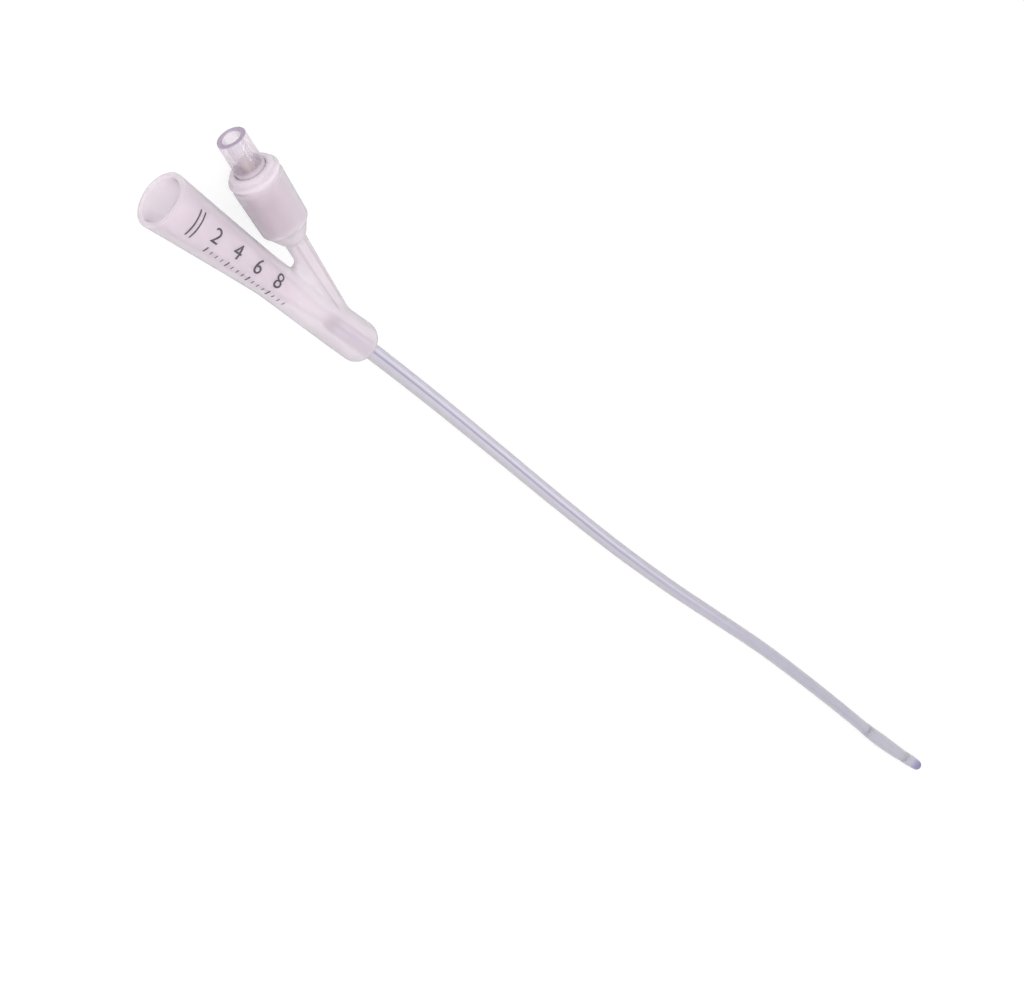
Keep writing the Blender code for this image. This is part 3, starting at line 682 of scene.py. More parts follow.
def paper_floor():
    """Seamless white paper: its own light, seen by the camera, keeps it white beside the
    object's shadow."""
    made, tree, shader = new_material("Paper, seamless white")
    tooth = grain(tree, 0.6)
    wall = graded(tree, tooth, 0.3, 0.7, linear("#DCDBDC"), linear("#E2E1E2"))
    finish(tree, shader, wall, Roughness=0.9)
    share = add_node(
        tree, "Math", {0: looking_rays(tree), 1: FLOOR_GLOW}, operation="MULTIPLY"
    ).outputs["Value"]
    white = add_node(tree, "Emission", {"Strength": FLOOR_WHITE}).outputs["Emission"]
    mixed = add_node(tree, "MixShader", {0: share, 1: shader.outputs["BSDF"], 2: white})
    tree.links.new(mixed.outputs["Shader"], tree.nodes["Material Output"].inputs["Surface"])
    return made


def add_piece(name, data, surface=None):
    """Puts a mesh, curve, lamp or camera in the scene, as an object of that name."""
    obj = bpy.data.objects.new(name, data)
    bpy.context.scene.collection.objects.link(obj)
    if surface:
        data.materials.clear()
        data.materials.append(surface)
    return obj


def mesh_from(bm, name):
    """The bmesh as a new mesh."""
    mesh = bpy.data.meshes.new(name)
    bm.to_mesh(mesh)
    bm.free()
    return mesh


def mark(mesh, **values):
    """Stores values on the vertices, each worked out from the vertex's place."""
    for name, value_at in values.items():
        stored = mesh.attributes.new(name, "FLOAT", "POINT")
        stored.data.foreach_set("value", [value_at(vertex.co) for vertex in mesh.vertices])


def smooth(mesh, angle=None):
    mesh.shade_smooth()
    if angle:
        mesh.set_sharp_from_angle(angle=math.radians(angle))
    return mesh


def dress(obj, body, slot, *nodes):
    """Rides the piece on its body, and hides the CAD nodes it stands for. The slot is not used."""
    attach(obj, body)
    if nodes:
        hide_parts(*nodes)


def arc(place, radius, size, start, end, count):
    """Profile points on an arc about (place, radius), with angles in degrees from +X."""
    angles = [math.radians(start + (end - start) * i / count) for i in range(count + 1)]
    return [(place + size * math.cos(a), radius + size * math.sin(a)) for a in angles]


def joined_rings(bm, rings, closed=False):
    """Quads between rings of equal count, or a fan where a ring is one point."""
    for near, far in zip(rings, rings[1:] + (rings[:1] if closed else [])):
        count = max(len(near), len(far))
        for i in range(count):
            j = (i + 1) % count
            if len(near) == 1:
                bm.faces.new((near[0], far[j], far[i]))
            elif len(far) == 1:
                bm.faces.new((near[i], near[j], far[0]))
            else:
                bm.faces.new((near[i], near[j], far[j], far[i]))


def turned_mesh(name, profile, sides, ring=False):
    """Turned about X from (distance, radius) points. Open ends are closed on the axis."""
    points = list(profile)
    if not ring:
        points = [(points[0][0], 0.0), *points, (points[-1][0], 0.0)]
    bm = bmesh.new()
    rings = []
    for place, radius in points:
        turns = [math.tau * i / sides for i in range(sides if radius else 1)]
        rings.append([
            bm.verts.new((place, radius * math.cos(a), radius * math.sin(a))) for a in turns
        ])
    joined_rings(bm, rings, ring)
    bmesh.ops.recalc_face_normals(bm, faces=bm.faces)
    return mesh_from(bm, name)


def combined(name, first, others):
    """The first mesh joined with or cut by the others, as one new mesh in its own frame."""
    base = add_piece(name + "_blank", first)
    helpers = []
    for operation, mesh in others:
        helpers.append(add_piece(name + "_tool", mesh))
        modifier = base.modifiers.new(operation, "BOOLEAN")
        modifier.operation = operation
        modifier.solver = "EXACT"
        modifier.object = helpers[-1]
    return baked(base, helpers)


def baked(obj, helpers=()):
    """The object's evaluated mesh. The object and its helpers are removed."""
    bpy.context.view_layer.update()
    graph = bpy.context.evaluated_depsgraph_get()
    mesh = bpy.data.meshes.new_from_object(obj.evaluated_get(graph))
    for item in (obj, *helpers):
        bpy.data.objects.remove(item, do_unlink=True)
    return mesh


def soft_skin(name, mesh, voxel, rounds, blend=None, blend_rounds=0):
    """Voxel skin over a mesh with every edge eased. blend(point) from 0 to 1 says where the
    extra rounds of smoothing go."""
    obj = add_piece(name + "_skin", mesh)
    remesh = obj.modifiers.new("skin", "REMESH")
    remesh.mode = "VOXEL"
    remesh.voxel_size = voxel
    obj = add_piece(name + "_skin", baked(obj))
    easing = obj.modifiers.new("ease", "SMOOTH")
    easing.factor = 0.5
    easing.iterations = rounds
    if blend:
        group = obj.vertex_groups.new(name="blend")
        for vertex in obj.data.vertices:
            weight = blend(vertex.co)
            if weight > 0.01:
                group.add([vertex.index], weight, "REPLACE")
        fillet = obj.modifiers.new("fillet", "SMOOTH")
        fillet.factor = 0.5
        fillet.iterations = blend_rounds
        fillet.vertex_group = group.name
    return baked(obj)


def funnel_profile():
    """The funnel's outside: its rounded rim, the waist, and the shoulder's round."""
    turn = SHOULDER_ROUND * 0.75
    run = SHOULDER_AT - MOUTH_LIP
    places = [MOUTH_LIP + run * i / WAIST_POINTS for i in range(1, WAIST_POINTS)]
    return [
        *arc(MOUTH_LIP, MOUTH_RADIUS - MOUTH_LIP, MOUTH_LIP, 180, 90, 5),
        *((place, outer_radius(place)) for place in places),
        *arc(MOULDING_LENGTH - turn, SHOULDER_RADIUS - turn, turn, 88, 14, 14),
        (MOULDING_LENGTH, SHAFT_RADIUS + SHOULDER_GAP),
    ]


def outer_radius(place):
    """The funnel's outer radius: nearly straight to the waist, then slowly out."""
    open_share = (1 - rising(place, MOUTH_LIP, WAIST_AT)) ** 1.12
    swell = rising(place, WAIST_AT, SHOULDER_AT)
    waist = WAIST_RADIUS + (MOUTH_RADIUS - WAIST_RADIUS) * open_share
    return waist + (SHOULDER_RADIUS - WAIST_RADIUS) * swell


def funnel_bore_profile():
    """The drainage bore, the throat and the shaft's socket."""
    mouth = MOUTH_RADIUS - FUNNEL_WALL
    socket = SHAFT_RADIUS + SOCKET_GAP
    return [
        (-CUT_PAST, mouth + 3 * MOUTH_FLARE),
        (0.0, mouth + MOUTH_FLARE),
        (MOUTH_LIP, mouth),
        (WAIST_AT, WAIST_RADIUS - WAIST_WALL),
        (SOCKET_AT - THROAT_LENGTH, THROAT_RADIUS),
        (SOCKET_AT - THROAT_LENGTH * 0.4, SEAT_RADIUS * 1.15),
        (SOCKET_AT, SEAT_RADIUS),
        (SOCKET_AT + SOCKET_STEP, socket),
        (MOULDING_LENGTH + CUT_PAST, socket),
    ]


def arm_profile():
    """The collar's two beads, a groove, the valve sleeve with its cone, and the arm."""
    floor = SLEEVE_RADIUS - GROOVE_DEPTH
    return [
        *arc(STEM_LENGTH + LIP_BEAD, COLLAR_RADIUS - LIP_BEAD, LIP_BEAD, 180, 60, 10),
        *arc(GROOVE_AT - LIP_BEAD, LIP_RADIUS - LIP_BEAD, LIP_BEAD, 160, 30, 12),
        (GROOVE_AT + 0.02, floor),
        (GROOVE_AT + GROOVE_LENGTH, floor),
        (GROOVE_AT + GROOVE_LENGTH * 1.6, SLEEVE_RADIUS),
        (SLEEVE_END + 0.3, SLEEVE_END_RADIUS),
        (SLEEVE_END + 0.9, SLEEVE_END_RADIUS - 0.5),
        (ARM_START - 0.2, ARM_RADIUS + 0.45),
        (ARM_START + 0.2, ARM_RADIUS - 0.15),
        (ARM_START + 1.5, ARM_RADIUS - 0.2),
        (ARM_END, ARM_ROOT_RADIUS),
    ]


def arm_bore_profile():
    """The sleeve's bore round the valve, and the inflation channel beyond it."""
    end = BODY_END + 0.3
    return [
        (STEM_LENGTH - CUT_PAST, COLLAR_BORE),
        (FLANGE_AT - SLEEVE_GAP, COLLAR_BORE),
        (FLANGE_AT - SLEEVE_GAP, SLEEVE_BORE),
        (end, SLEEVE_BORE),
        (end + SLEEVE_BORE_TAPER, ARM_BORE_RADIUS),
        (ARM_END - 6, ARM_BORE_RADIUS * 0.85),
    ]


def fork_web():
    """A wedge between the limbs that thickens towards the shoulder, in the moulding's frame."""
    cos, sin = math.cos(ARM_ANGLE), math.sin(ARM_ANGLE)
    back = (ARM_MEETS_AT - CROTCH_AT) / cos
    root = LUER_MOUTH_FROM_MEETING - ARM_END
    rings = (
        ((CROTCH_AT, 0.0), WEB_RADIUS, 0.0),
        ((ARM_MEETS_AT - root * cos, 0.0), WEB_END_RADIUS, 0.0),
        ((CROTCH_AT, back * sin), WEB_RADIUS, -ARM_ANGLE),
        ((ARM_MEETS_AT - root * cos, root * sin), ARM_ROOT_RADIUS - 0.05, -ARM_ANGLE),
    )
    bm = bmesh.new()
    for (x, y), radius, heading in rings:
        turn = Matrix.Rotation(heading, 4, "Z") @ Matrix.Rotation(math.pi / 2, 4, "Y")
        bmesh.ops.create_circle(
            bm, segments=48, radius=radius, matrix=Matrix.Translation((x, y, 0)) @ turn
        )
    hull = bmesh.ops.convex_hull(bm, input=bm.verts)
    inside = set(hull["geom_interior"]) | set(hull["geom_unused"])
    loose = [item for item in inside if isinstance(item, bmesh.types.BMVert)]
    bmesh.ops.delete(bm, geom=loose, context="VERTS")
    bmesh.ops.recalc_face_normals(bm, faces=bm.faces)
    return mesh_from(bm, "fork_web")


def crotch_spool():
    """The waisted spool that leaves a full round edge on the web at the crotch."""
    reach = CROTCH_ROUND + WEB_RADIUS
    top = WEB_RADIUS + 1
    profile = [(-top, reach), *arc(0, reach, WEB_RADIUS, 180, 360, 16), (top, reach)]
    mesh = turned_mesh("crotch_spool", profile, 48)
    mesh.transform(Matrix.Rotation(math.pi / 2, 4, "Y"))
    mesh.transform(Matrix.Translation((CROTCH_AT, CROTCH_ASIDE, 0)))
    return mesh


def off_axis(point):
    """How far a point is from its frame's X axis."""
    return math.hypot(point.y, point.z)


def fork_blend(point):
    """How much a point of the moulding is smoothed: fully round the fork, not at the sleeve,
    on the funnel's far side or in the channel."""
    along = rising(point.x, *BLEND_AT_CROTCH) * rising(point.x, *BLEND_AT_SHOULDER)
    axis = (ARM_MEETS_AT - point.x) * math.tan(ARM_ANGLE)
    off_channel = rising(math.hypot(point.y - axis, point.z), *BLEND_OFF_CHANNEL)
    return along * rising(point.y, *BLEND_ASIDE) * off_channel


def inner_wall(point):
    """1 on the walls of the inflation channel and of the funnel's throat, and 0 elsewhere."""
    in_arm = MOULDING_IN_ARM @ point
    along_channel = BODY_END + 1 < in_arm.x < ARM_END
    along_throat = SOCKET_AT - THROAT_LENGTH < point.x < MOULDING_LENGTH - 1
    in_channel = along_channel and off_axis(in_arm) < ARM_BORE_RADIUS + NEAR_CHANNEL
    in_throat = along_throat and off_axis(point) < SHAFT_RADIUS + NEAR_BORE
    return 1.0 if in_channel or in_throat else 0.0


def shown_through(point):
    """How strongly painted shade shows on the outside where the inside lies: the valve, seen
    through and in its shadow, as a soft dark stripe along the sleeve, and the channel's two sides as
    dark lines along the arm."""
    in_arm = MOULDING_IN_ARM @ point
    if in_arm.y < -SLEEVE_RADIUS - NEAR_OUTSIDE or inner_wall(point):
        return 0.0
    if in_arm.x < ARM_START:
        start, end = VALVE_STRIPE_ENDS
        ends = min(
            rising(in_arm.x, start, start + VALVE_FADE), rising(in_arm.x, end, end - VALVE_FADE)
        )
        across = max(1 - ((in_arm.y + VALVE_ASIDE) / VALVE_STRIPE) ** 2, 0.0)
        return VALVE_SHADE * ends * across
    away = abs(abs(in_arm.y) - ARM_BORE_RADIUS)
    ends = min(rising(in_arm.x, ARM_START, ARM_START + 1), rising(in_arm.x, *CHANNEL_FADE))
    return rising(away, CHANNEL_LINE, 0) * ends


def collar_lip(point):
    """1 on the collar, whose silicone is thick, and 0 elsewhere."""
    in_arm = MOULDING_IN_ARM @ point
    if off_axis(in_arm) > LIP_RADIUS + NEAR_OUTSIDE:
        return 0.0
    return rising(in_arm.x, GROOVE_AT + 1, GROOVE_AT)


def drift_at(far):
    """Sideways drift at a distance past the shoulder, on a smooth curve through ROUTE."""
    if far >= ROUTE[-1][0]:
        return ROUTE[-1][1]
    index = max(i for i, (place, _) in enumerate(ROUTE) if place <= max(far, 0.0))
    (a, side_a), (b, side_b) = ROUTE[index], ROUTE[index + 1]
    before = ROUTE[max(index - 1, 0)]
    after = ROUTE[min(index + 2, len(ROUTE) - 1)]
    slope_a = (side_b - before[1]) / (b - before[0])
    slope_b = (after[1] - side_a) / (after[0] - a)
    span = b - a
    t = (far - a) / span
    return (
        side_a * (2 * t ** 3 - 3 * t * t + 1) + side_b * (3 * t * t - 2 * t ** 3)
        + slope_a * span * (t ** 3 - 2 * t * t + t) + slope_b * span * (t ** 3 - t * t)
    )


def eased(share):
    """A share from 0 to 1 with a soft start and end."""
    return share * share * (3 - 2 * share)


def route_point(far):
    """The shaft's centre past the shoulder, in world millimetres: it falls to the surface and
    is lifted a little by the balloon's sleeve."""
    in_moulding = Vector((MOULDING_LENGTH + min(far, 0.0), 0, 0))
    centre = (MOULDING_FRAME @ in_moulding) / MM
    if far < 0:
        return centre
    heading = -Vector(mount("drainage_mouth")["axis"])
    fall = rising(far, 0, DROP_LENGTH)
    start = heading.z / heading.x * far * (1 - fall) ** 2
    height = centre.z + start - (centre.z - SHAFT_REST) * eased(fall)
    height += LIFT * eased(rising(far, BALLOON_START - LIFT_LENGTH, BALLOON_START))
    return Vector((centre.x + far, centre.y + drift_at(far), height))


def stations(start, end, step):
    count = max(1, math.ceil((end - start) / step))
    return [start + (end - start) * i / count for i in range(count + 1)]


def section_frame(places, index):
    """Centre, sideways and upward directions of the shaft at one station."""
    centre = route_point(places[index])
    after = route_point(places[min(index + 1, len(places) - 1)])
    before = route_point(places[max(index - 1, 0)])
    ahead = (after - before).normalized()
    side = UP.cross(ahead).normalized()
    return centre, side, ahead.cross(side).normalized()


def swept_tubes(name, places, bores, sides):
    """Round walls along the shaft, capped into one closed mesh. bores are (radius at a place,
    offset, angle from the top) with the outer wall first. UV 'around' has metres and turns."""
    bm = bmesh.new()
    uv = bm.loops.layers.uv.new("around")
    ends = [[], []]
    for number, (radius_at, offset, angle) in enumerate(bores):
        count = sides if number == 0 else max(12, sides // 2)
        rings = []
        for index, place in enumerate(places):
            centre, side, top = section_frame(places, index)
            twist = SHAFT_TWIST * rising(place, 0, SHAFT_LENGTH)
            middle = centre + offset * (
                top * math.cos(angle + twist) + side * math.sin(angle + twist)
            )
            radius = radius_at(place)
            turns = [twist + math.pi + math.tau * i / count for i in range(count)]
            rings.append([
                bm.verts.new(middle + radius * (top * math.cos(a) + side * math.sin(a)))
                for a in turns
            ])
        for index, (near, far) in enumerate(zip(rings, rings[1:])):
            for i in range(count):
                j = (i + 1) % count
                face = bm.faces.new((near[i], near[j], far[j], far[i]))
                marks = ((index, i), (index, i + 1), (index + 1, i + 1), (index + 1, i))
                for loop, (row, column) in zip(face.loops, marks):
                    loop[uv].uv = (places[row] * MM, column / count)
        for end, ring in zip(ends, (rings[0], rings[-1])):
            end.extend(bm.edges.get((ring[i], ring[(i + 1) % count])) for i in range(count))
    for edges in ends:
        bmesh.ops.triangle_fill(bm, use_beauty=True, use_dissolve=False, edges=edges)
    bmesh.ops.recalc_face_normals(bm, faces=bm.faces)
    mesh = mesh_from(bm, name)
    mesh.transform(Matrix.Scale(MM, 4))
    return smooth(mesh, 40)


def tip_frame():
    """A millimetre frame at the shaft's end, X along the shaft."""
    end, behind = route_point(SHAFT_LENGTH), route_point(SHAFT_LENGTH - 6)
    heading = math.atan2(end.y - behind.y, end.x - behind.x)
    turn = Matrix.Rotation(heading, 4, "Z")
    return Matrix.Scale(MM, 4) @ Matrix.Translation(end) @ turn


def eye_plug(start, side):
    """An oval plug that opens one side of the tip into its lumen."""
    plug = turned_mesh("eye_plug", [(0.0, 0.5), (1.0, 0.5)], 48)
    plug.transform(Matrix.Diagonal((TIP_RADIUS + 1, EYE_WIDTH, EYE_LENGTH, 1.0)))
    plug.transform(Matrix.Rotation(math.pi / 2 * side, 4, "Z"))
    plug.transform(Matrix.Rotation(math.pi / 2, 4, "Y"))
    plug.transform(Matrix.Translation((start + EYE_LENGTH / 2, 0, 0)))
    return plug


def plastic_depth(point):
    """How dense the clear plastic looks: most on the stem's rim, some along its bore."""
    if point.x < 0.22:
        return 1.0
    in_bore = off_axis(point) < LUER_RADIUS + NEAR_BORE and point.x < LUER_DEPTH + 0.2
    return BORE_DEPTH if in_bore else 0.0


def held_in_sleeve(point):
    """0 on the bare stem, and 1 on what the sleeve grips, which shows the sleeve's silicone."""
    in_bore = off_axis(point) < LUER_RADIUS + NEAR_BORE
    reach = STEM_CLEAR_END if in_bore else STEM_MILKY_LENGTH
    return rising(point.x, STEM_LENGTH - reach, STEM_LENGTH)


class CATHETER_OT_moulding(Operator):
    """Builds the frosted skin of the funnel, the fork, the arm and the valve sleeve"""

    bl_idname = "catheter.moulding"
    bl_label = "Moulding"

    def execute(self, context):
        size = context.scene.catheter_sizes
        funnel, bore, arm, arm_bore = (
            turned_mesh(profile.__name__, profile(), size.sides)
            for profile in (funnel_profile, funnel_bore_profile, arm_profile, arm_bore_profile)
        )
        for mesh in (arm, arm_bore):
            mesh.transform(ARM_IN_MOULDING)
        web = combined("web", fork_web(), [("DIFFERENCE", crotch_spool())])
        solid = combined("moulding", funnel, [
            ("UNION", arm), ("UNION", web), ("DIFFERENCE", bore), ("DIFFERENCE", arm_bore),
        ])
        mesh = soft_skin(
            "moulding", solid, size.skin_voxel / MM, 3, fork_blend, size.fork_rounds
        )
        # Marks where the painted shade of the channel and the valve goes.
        mark(mesh, inside=inner_wall, shown=shown_through, lip=collar_lip)
        mesh.transform(MOULDING_FRAME)
        skin = add_piece("moulding_skin", smooth(mesh), moulded_silicone())
        dress(skin, "root", "moulded_silicone", "funnel_moulding")
        return {"FINISHED"}


class CATHETER_OT_tip(Operator):
    """Builds the closed tip with its two soft-edged eyes"""

    bl_idname = "catheter.tip"
    bl_label = "Tip"

    def execute(self, context):
        size = context.scene.catheter_sizes
        profile = [
            (0.02, SHAFT_RADIUS + 0.1),
            (1.0, TIP_RADIUS - 0.03),
            (3.0, TIP_RADIUS),
            (TIP_LENGTH * 0.55, (TIP_RADIUS + TIP_END_RADIUS) / 2 + 0.08),
            *arc(TIP_LENGTH - TIP_END_RADIUS, 0.0, TIP_END_RADIUS, 90, 5, 14),
        ]
        lumen = [(-1.0, MAIN_LUMEN_RADIUS), (TIP_LUMEN_LENGTH, MAIN_LUMEN_RADIUS)]
        tools = [turned_mesh("tip_lumen", lumen, 48)]
        tools += [eye_plug(start, side) for start, side in EYES]
        solid = combined(
            "tip", turned_mesh("tip", profile, size.sides),
            [("DIFFERENCE", tool) for tool in tools],
        )
        mesh = soft_skin("tip", solid, size.tip_voxel / MM, 4)
        mark(mesh, along=lambda point: point.x + SOLID_TIP_SLOPE * point.z)
        mesh.transform(tip_frame())
        tip = add_piece("tip_skin", smooth(mesh), tip_silicone())
        dress(tip, "root", "tip_silicone", "catheter_tip")
        return {"FINISHED"}


class CATHETER_OT_shaft(Operator):
    """Builds the twin-lumen shaft with its balloon sleeve"""

    bl_idname = "catheter.shaft"
    bl_label = "Shaft and balloon"

    def execute(self, context):
        places = stations(SHAFT_START, SHAFT_LENGTH, SHAFT_STEP)
        mesh = swept_tubes("shaft", places, (
            (lambda place: SHAFT_RADIUS, 0.0, 0.0),
            (lambda place: MAIN_LUMEN_RADIUS, MAIN_LUMEN_OFFSET, math.pi),
            (lambda place: SMALL_LUMEN_RADIUS, SMALL_LUMEN_OFFSET, 0.0),
        ), SHAFT_SIDES)
        shaft = add_piece("twin_lumen_shaft", mesh, extruded_silicone())
        dress(shaft, "root", "extruded_silicone", "shaft_tube")

        def sleeve_radius(place):
            share = rising(place, BALLOON_START, BALLOON_END)
            swell = math.sin(math.pi * share ** 0.9) ** 0.85
            thin = SHAFT_RADIUS + BALLOON_EDGE
            return thin + (BALLOON_RADIUS - thin) * swell

        sleeve = swept_tubes("balloon", stations(BALLOON_START, BALLOON_END, BALLOON_STEP), (
            (sleeve_radius, 0.0, 0.0),
            (lambda place: SHAFT_RADIUS + BALLOON_GAP, 0.0, 0.0),
        ), SHAFT_SIDES)
        balloon = add_piece("balloon_skin", sleeve, dipped_silicone())
        dress(balloon, "root", "balloon_silicone", "balloon_sleeve")
        tuple(route_point(places[0]) * MM)
        [tuple(route_point(place) * MM) for place in places]
        return {"FINISHED"}


class CATHETER_OT_valve_body(Operator):
    """Builds the clear luer stem, flange and spring chamber"""

    bl_idname = "catheter.valve_body"
    bl_label = "Valve body"

    def execute(self, context):
        seat = LUER_RADIUS - LUER_TAPER * LUER_DEPTH
        relieved = BODY_RADIUS - BODY_RELIEF
        flange_end = FLANGE_AT + FLANGE_LENGTH
        profile = [
            *arc(STEM_EDGE, STEM_RADIUS - STEM_EDGE, STEM_EDGE, 180, 90, 6),
            (STEM_LENGTH - STEM_MILKY_LENGTH, STEM_BASE_RADIUS - 0.05),
            (STEM_LENGTH - 0.6, STEM_BASE_RADIUS),
            (STEM_LENGTH, STEM_BASE_RADIUS + 0.04),
            (FLANGE_AT - 0.05, STEM_BASE_RADIUS + 0.1),
            (FLANGE_AT, STEM_BASE_RADIUS + 0.25),
            (FLANGE_AT, BODY_RADIUS - 0.1),
            (FLANGE_AT + 0.1, BODY_RADIUS),
            (flange_end, BODY_RADIUS),
            (flange_end + BODY_RELIEF, relieved),
            (BODY_END - 0.6, relieved),
            (BODY_END, relieved - 0.5),
            (BODY_END, CHAMBER_RADIUS),
            (CHAMBER_AT, CHAMBER_RADIUS),
            (CHAMBER_AT, seat + 0.35),
            (CHAMBER_AT - SEAT_LAND, seat),
            (LUER_DEPTH, seat),
            (STEM_LENGTH - STEM_CLEAR_END, seat + LUER_TAPER * STEM_CLEAR_END),
            (0.35, LUER_RADIUS),
            *arc(LUER_EDGE, LUER_RADIUS + LUER_EDGE, LUER_EDGE, 270, 180, 4),
            (0.0, LUER_RADIUS + 0.55),
        ]
        mesh = turned_mesh("valve", profile, context.scene.catheter_sizes.sides, ring=True)
        mark(mesh, depth=plastic_depth, held=held_in_sleeve)
        mesh.transform(ARM_FRAME)
        body = add_piece("clear_valve_body", smooth(mesh, 35), clear_plastic())
        dress(body, "root", "clear_plastic", "valve_body")
        return {"FINISHED"}


class CATHETER_OT_valve_inside(Operator):
    """Builds the plunger, and finishes the seal, spring and retainer of the valve"""

    bl_idname = "catheter.valve_inside"
    bl_label = "Valve inside"

    def execute(self, context):
        profile = [
            *arc(PLUNGER_DEPTH + 0.25, PLUNGER_RADIUS - 0.25, 0.25, 180, 90, 5),
            (HEAD_AT, PLUNGER_RADIUS),
            (HEAD_AT, HEAD_RADIUS - HEAD_EDGE),
            (HEAD_AT + HEAD_EDGE, HEAD_RADIUS),
            (HEAD_END - HEAD_EDGE, HEAD_RADIUS),
            (HEAD_END, HEAD_RADIUS - HEAD_EDGE),
            (HEAD_END, GUIDE_RADIUS),
            (HEAD_END + GUIDE_LENGTH, GUIDE_RADIUS * 0.85),
        ]
        start = PLUNGER_DEPTH - 0.3
        groove = [(0.0, PLUNGER_FLUTE_DEPTH), (CHAMBER_AT - start, PLUNGER_FLUTE_DEPTH)]
        flutes = []
        for i in range(PLUNGER_FLUTES):
            flute = turned_mesh("flute", groove, 24)
            turn = Matrix.Rotation(math.tau * i / PLUNGER_FLUTES, 4, "X")
            flute.transform(turn @ Matrix.Translation((start, 0, PLUNGER_RADIUS)))
            flutes.append(("DIFFERENCE", flute))
        mesh = combined("plunger", turned_mesh("plunger", profile, 64), flutes)
        mesh.transform(ARM_FRAME)
        plunger = add_piece("fluted_plunger", smooth(mesh, 35), plunger_plastic())
        dress(plunger, "plunger", "plunger_plastic", "valve_plunger")
        for node, surface in (
            ("valve_seal", seal_rubber), ("valve_spring", spring_steel),
            ("valve_retainer", retainer_plastic),
        ):
            mesh = frame["nodes"][node].data
            mesh.materials.clear()
            mesh.materials.append(surface())
            mesh.shade_smooth()
        return {"FINISHED"}


def wrapped(mesh, place, aside, lift):
    """Lays a flat mesh on the funnel: its X runs along the axis and its Y round towards +Y."""
    for vertex in mesh.vertices:
        x = place + vertex.co.x
        radius = outer_radius(x) + lift
        angle = (aside + vertex.co.y) / radius
        vertex.co = (x, radius * math.sin(angle), radius * math.cos(angle))
    return mesh


def flat_bar(bar, cuts):
    """A thin flat bar about its middle, cut finely enough to bend round the funnel."""
    bm = bmesh.new()
    bmesh.ops.create_grid(bm, x_segments=2, y_segments=cuts, size=0.5)
    mesh = mesh_from(bm, "bar")
    mesh.transform(Matrix.Diagonal((*bar, 1.0, 1.0)))
    return mesh


def numeral_mesh(text, height):
    """A plain numeral as a flat mesh, with short edges so that it can bend."""
    curve = bpy.data.curves.new("numeral", "FONT")
    curve.body = text
    curve.size = height * FONT_OVER_NUMERAL
    curve.align_x = "CENTER"
    curve.align_y = "CENTER"
    curve.fill_mode = "FRONT"
    bm = bmesh.new()
    bm.from_mesh(baked(add_piece("numeral", curve)))
    bmesh.ops.remove_doubles(bm, verts=bm.verts, dist=0.001)
    bmesh.ops.triangulate(bm, faces=bm.faces)
    for _ in range(2):
        long = [edge for edge in bm.edges if edge.calc_length() > 0.5]
        bmesh.ops.subdivide_edges(bm, edges=long, cuts=1)
        bmesh.ops.triangulate(bm, faces=bm.faces)
    return mesh_from(bm, "numeral")


class CATHETER_OT_print(Operator):
    """Prints a plain scale of numerals and ticks on the funnel"""

    bl_idname = "catheter.print"
    bl_label = "Printed scale"

    def execute(self, context):
        size = context.scene.catheter_sizes
        height = size.numeral_height / MM
        film = size.ink_film / MM
        flats = []
        for number, text in enumerate(SCALE_NUMERALS):
            place = SCALE_START + SCALE_STEP * number
            flats.append((numeral_mesh(text, height), place, NUMERAL_ASIDE))
            for part in range(SCALE_PARTS):
                tick = flat_bar(SHORT_TICK, 4) if part else flat_bar(LONG_TICK, 5)
                beside = place + SCALE_STEP * part / SCALE_PARTS
                flats.append((tick, beside, TICKS_ASIDE * height))
        flats += [(flat_bar(BAND, 24), place, BAND_ASIDE) for place in BAND_PLACES]
        bm = bmesh.new()
        for mesh, place, aside in flats:
            bm.from_mesh(wrapped(mesh, place, aside, film / 2))
        base = add_piece("scale_film", mesh_from(bm, "scale"))
        wall = base.modifiers.new("film", "SOLIDIFY")
        wall.thickness = film
        wall.offset = 0.0
        mesh = baked(base)
        mesh.transform(MOULDING_FRAME)
        dress(add_piece("printed_scale", mesh, printed_ink()), "root", "moulded_silicone")
        return {"FINISHED"}


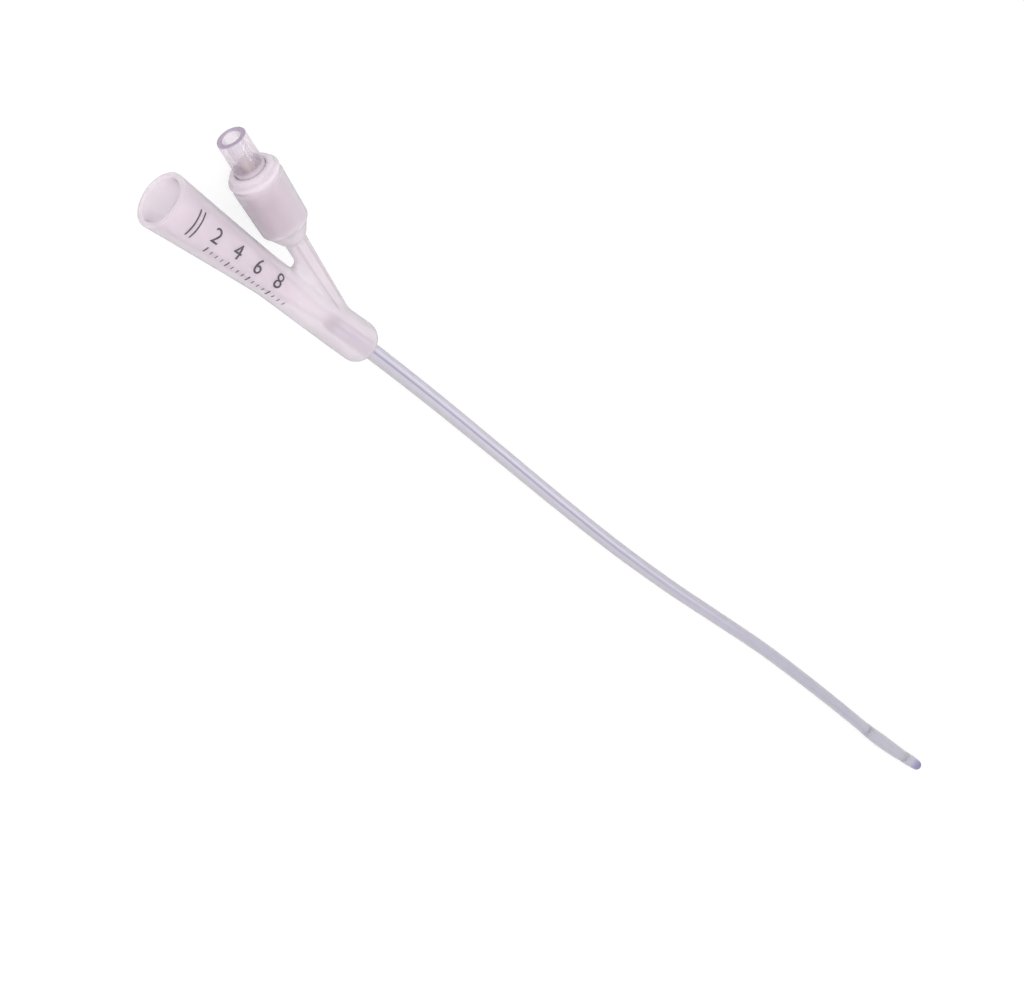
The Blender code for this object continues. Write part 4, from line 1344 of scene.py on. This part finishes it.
class CATHETER_OT_stage(Operator):
    """Sets the paper floor, the soft lamps, the room's light and the camera"""

    bl_idname = "catheter.stage"
    bl_label = "Stage"

    def execute(self, context):
        scene = context.scene
        settings = scene.catheter_stage
        bm = bmesh.new()
        bmesh.ops.create_grid(bm, x_segments=1, y_segments=1, size=FLOOR_REACH)
        add_piece("paper_floor", mesh_from(bm, "floor"), paper_floor())
        for name, place, width, share in LAMPS:
            light = bpy.data.lights.new(name, "AREA")
            light.shape = "SQUARE"
            light.size = width
            light.energy = settings.key_power * share
            lamp = add_piece(name, light)
            lamp.location = place
            lamp.rotation_euler = (-Vector(place)).to_track_quat("-Z", "Y").to_euler()
        self.light_room(scene, settings.room_level)
        camera = bpy.data.cameras.new("camera")
        camera.lens = settings.lens
        camera.clip_start = 0.01
        sight = Vector(settings.camera_aim) - Vector(settings.camera_place)
        level = sight.to_track_quat("-Z", "Y").to_matrix().to_4x4()
        roll = Matrix.Rotation(settings.camera_roll, 4, "Z")
        scene.camera = add_piece("camera", camera)
        scene.camera.matrix_world = Matrix.Translation(settings.camera_place) @ level @ roll
        scene.view_settings.view_transform = "Standard"
        return {"FINISHED"}

    def light_room(self, scene, level):
        """White to the camera and in reflections, and a plain level for the rest."""
        scene.world = scene.world or bpy.data.worlds.new("room")
        scene.world.use_nodes = True
        tree = scene.world.node_tree
        tree.nodes.clear()
        lit, white = (
            add_node(tree, "Background", {"Color": (1, 1, 1), "Strength": strength})
            for strength in (level, 1.0)
        )
        mix = add_node(tree, "MixShader", {
            0: looking_rays(tree), 1: lit.outputs["Background"], 2: white.outputs["Background"],
        })
        add_node(tree, "OutputWorld", {"Surface": mix.outputs["Shader"]})


class CATHETER_PT_looks(Panel):
    """Lists the catheter's pieces in the sidebar"""

    bl_idname = "CATHETER_PT_looks"
    bl_label = "Balloon catheter"
    bl_space_type = "VIEW_3D"
    bl_region_type = "UI"
    bl_category = "Catheter"

    def draw(self, context):
        for scene_name in GROUPS:
            group = getattr(context.scene, scene_name)
            column = self.layout.column(align=True)
            for name in group.__annotations__:
                column.prop(group, name)
        for operator in STEPS:
            self.layout.operator(operator.bl_idname)


STEPS = (
    CATHETER_OT_stage,
    CATHETER_OT_moulding,
    CATHETER_OT_tip,
    CATHETER_OT_shaft,
    CATHETER_OT_valve_body,
    CATHETER_OT_valve_inside,
    CATHETER_OT_print,
)
GROUPS = {
    "catheter_colours": CatheterColours,
    "catheter_sizes": CatheterSizes,
    "catheter_stage": StageSettings,
}


def register():
    for item in (*GROUPS.values(), *STEPS, CATHETER_PT_looks):
        bpy.utils.register_class(item)
    for name, group in GROUPS.items():
        setattr(bpy.types.Scene, name, PointerProperty(type=group))


def unregister():
    for name in GROUPS:
        delattr(bpy.types.Scene, name)
    for item in reversed((*GROUPS.values(), *STEPS, CATHETER_PT_looks)):
        bpy.utils.unregister_class(item)


def main():
    register()
    for operator in STEPS:
        group, name = operator.bl_idname.split(".")
        getattr(getattr(bpy.ops, group), name)()


if __name__ == "__main__":
    main()
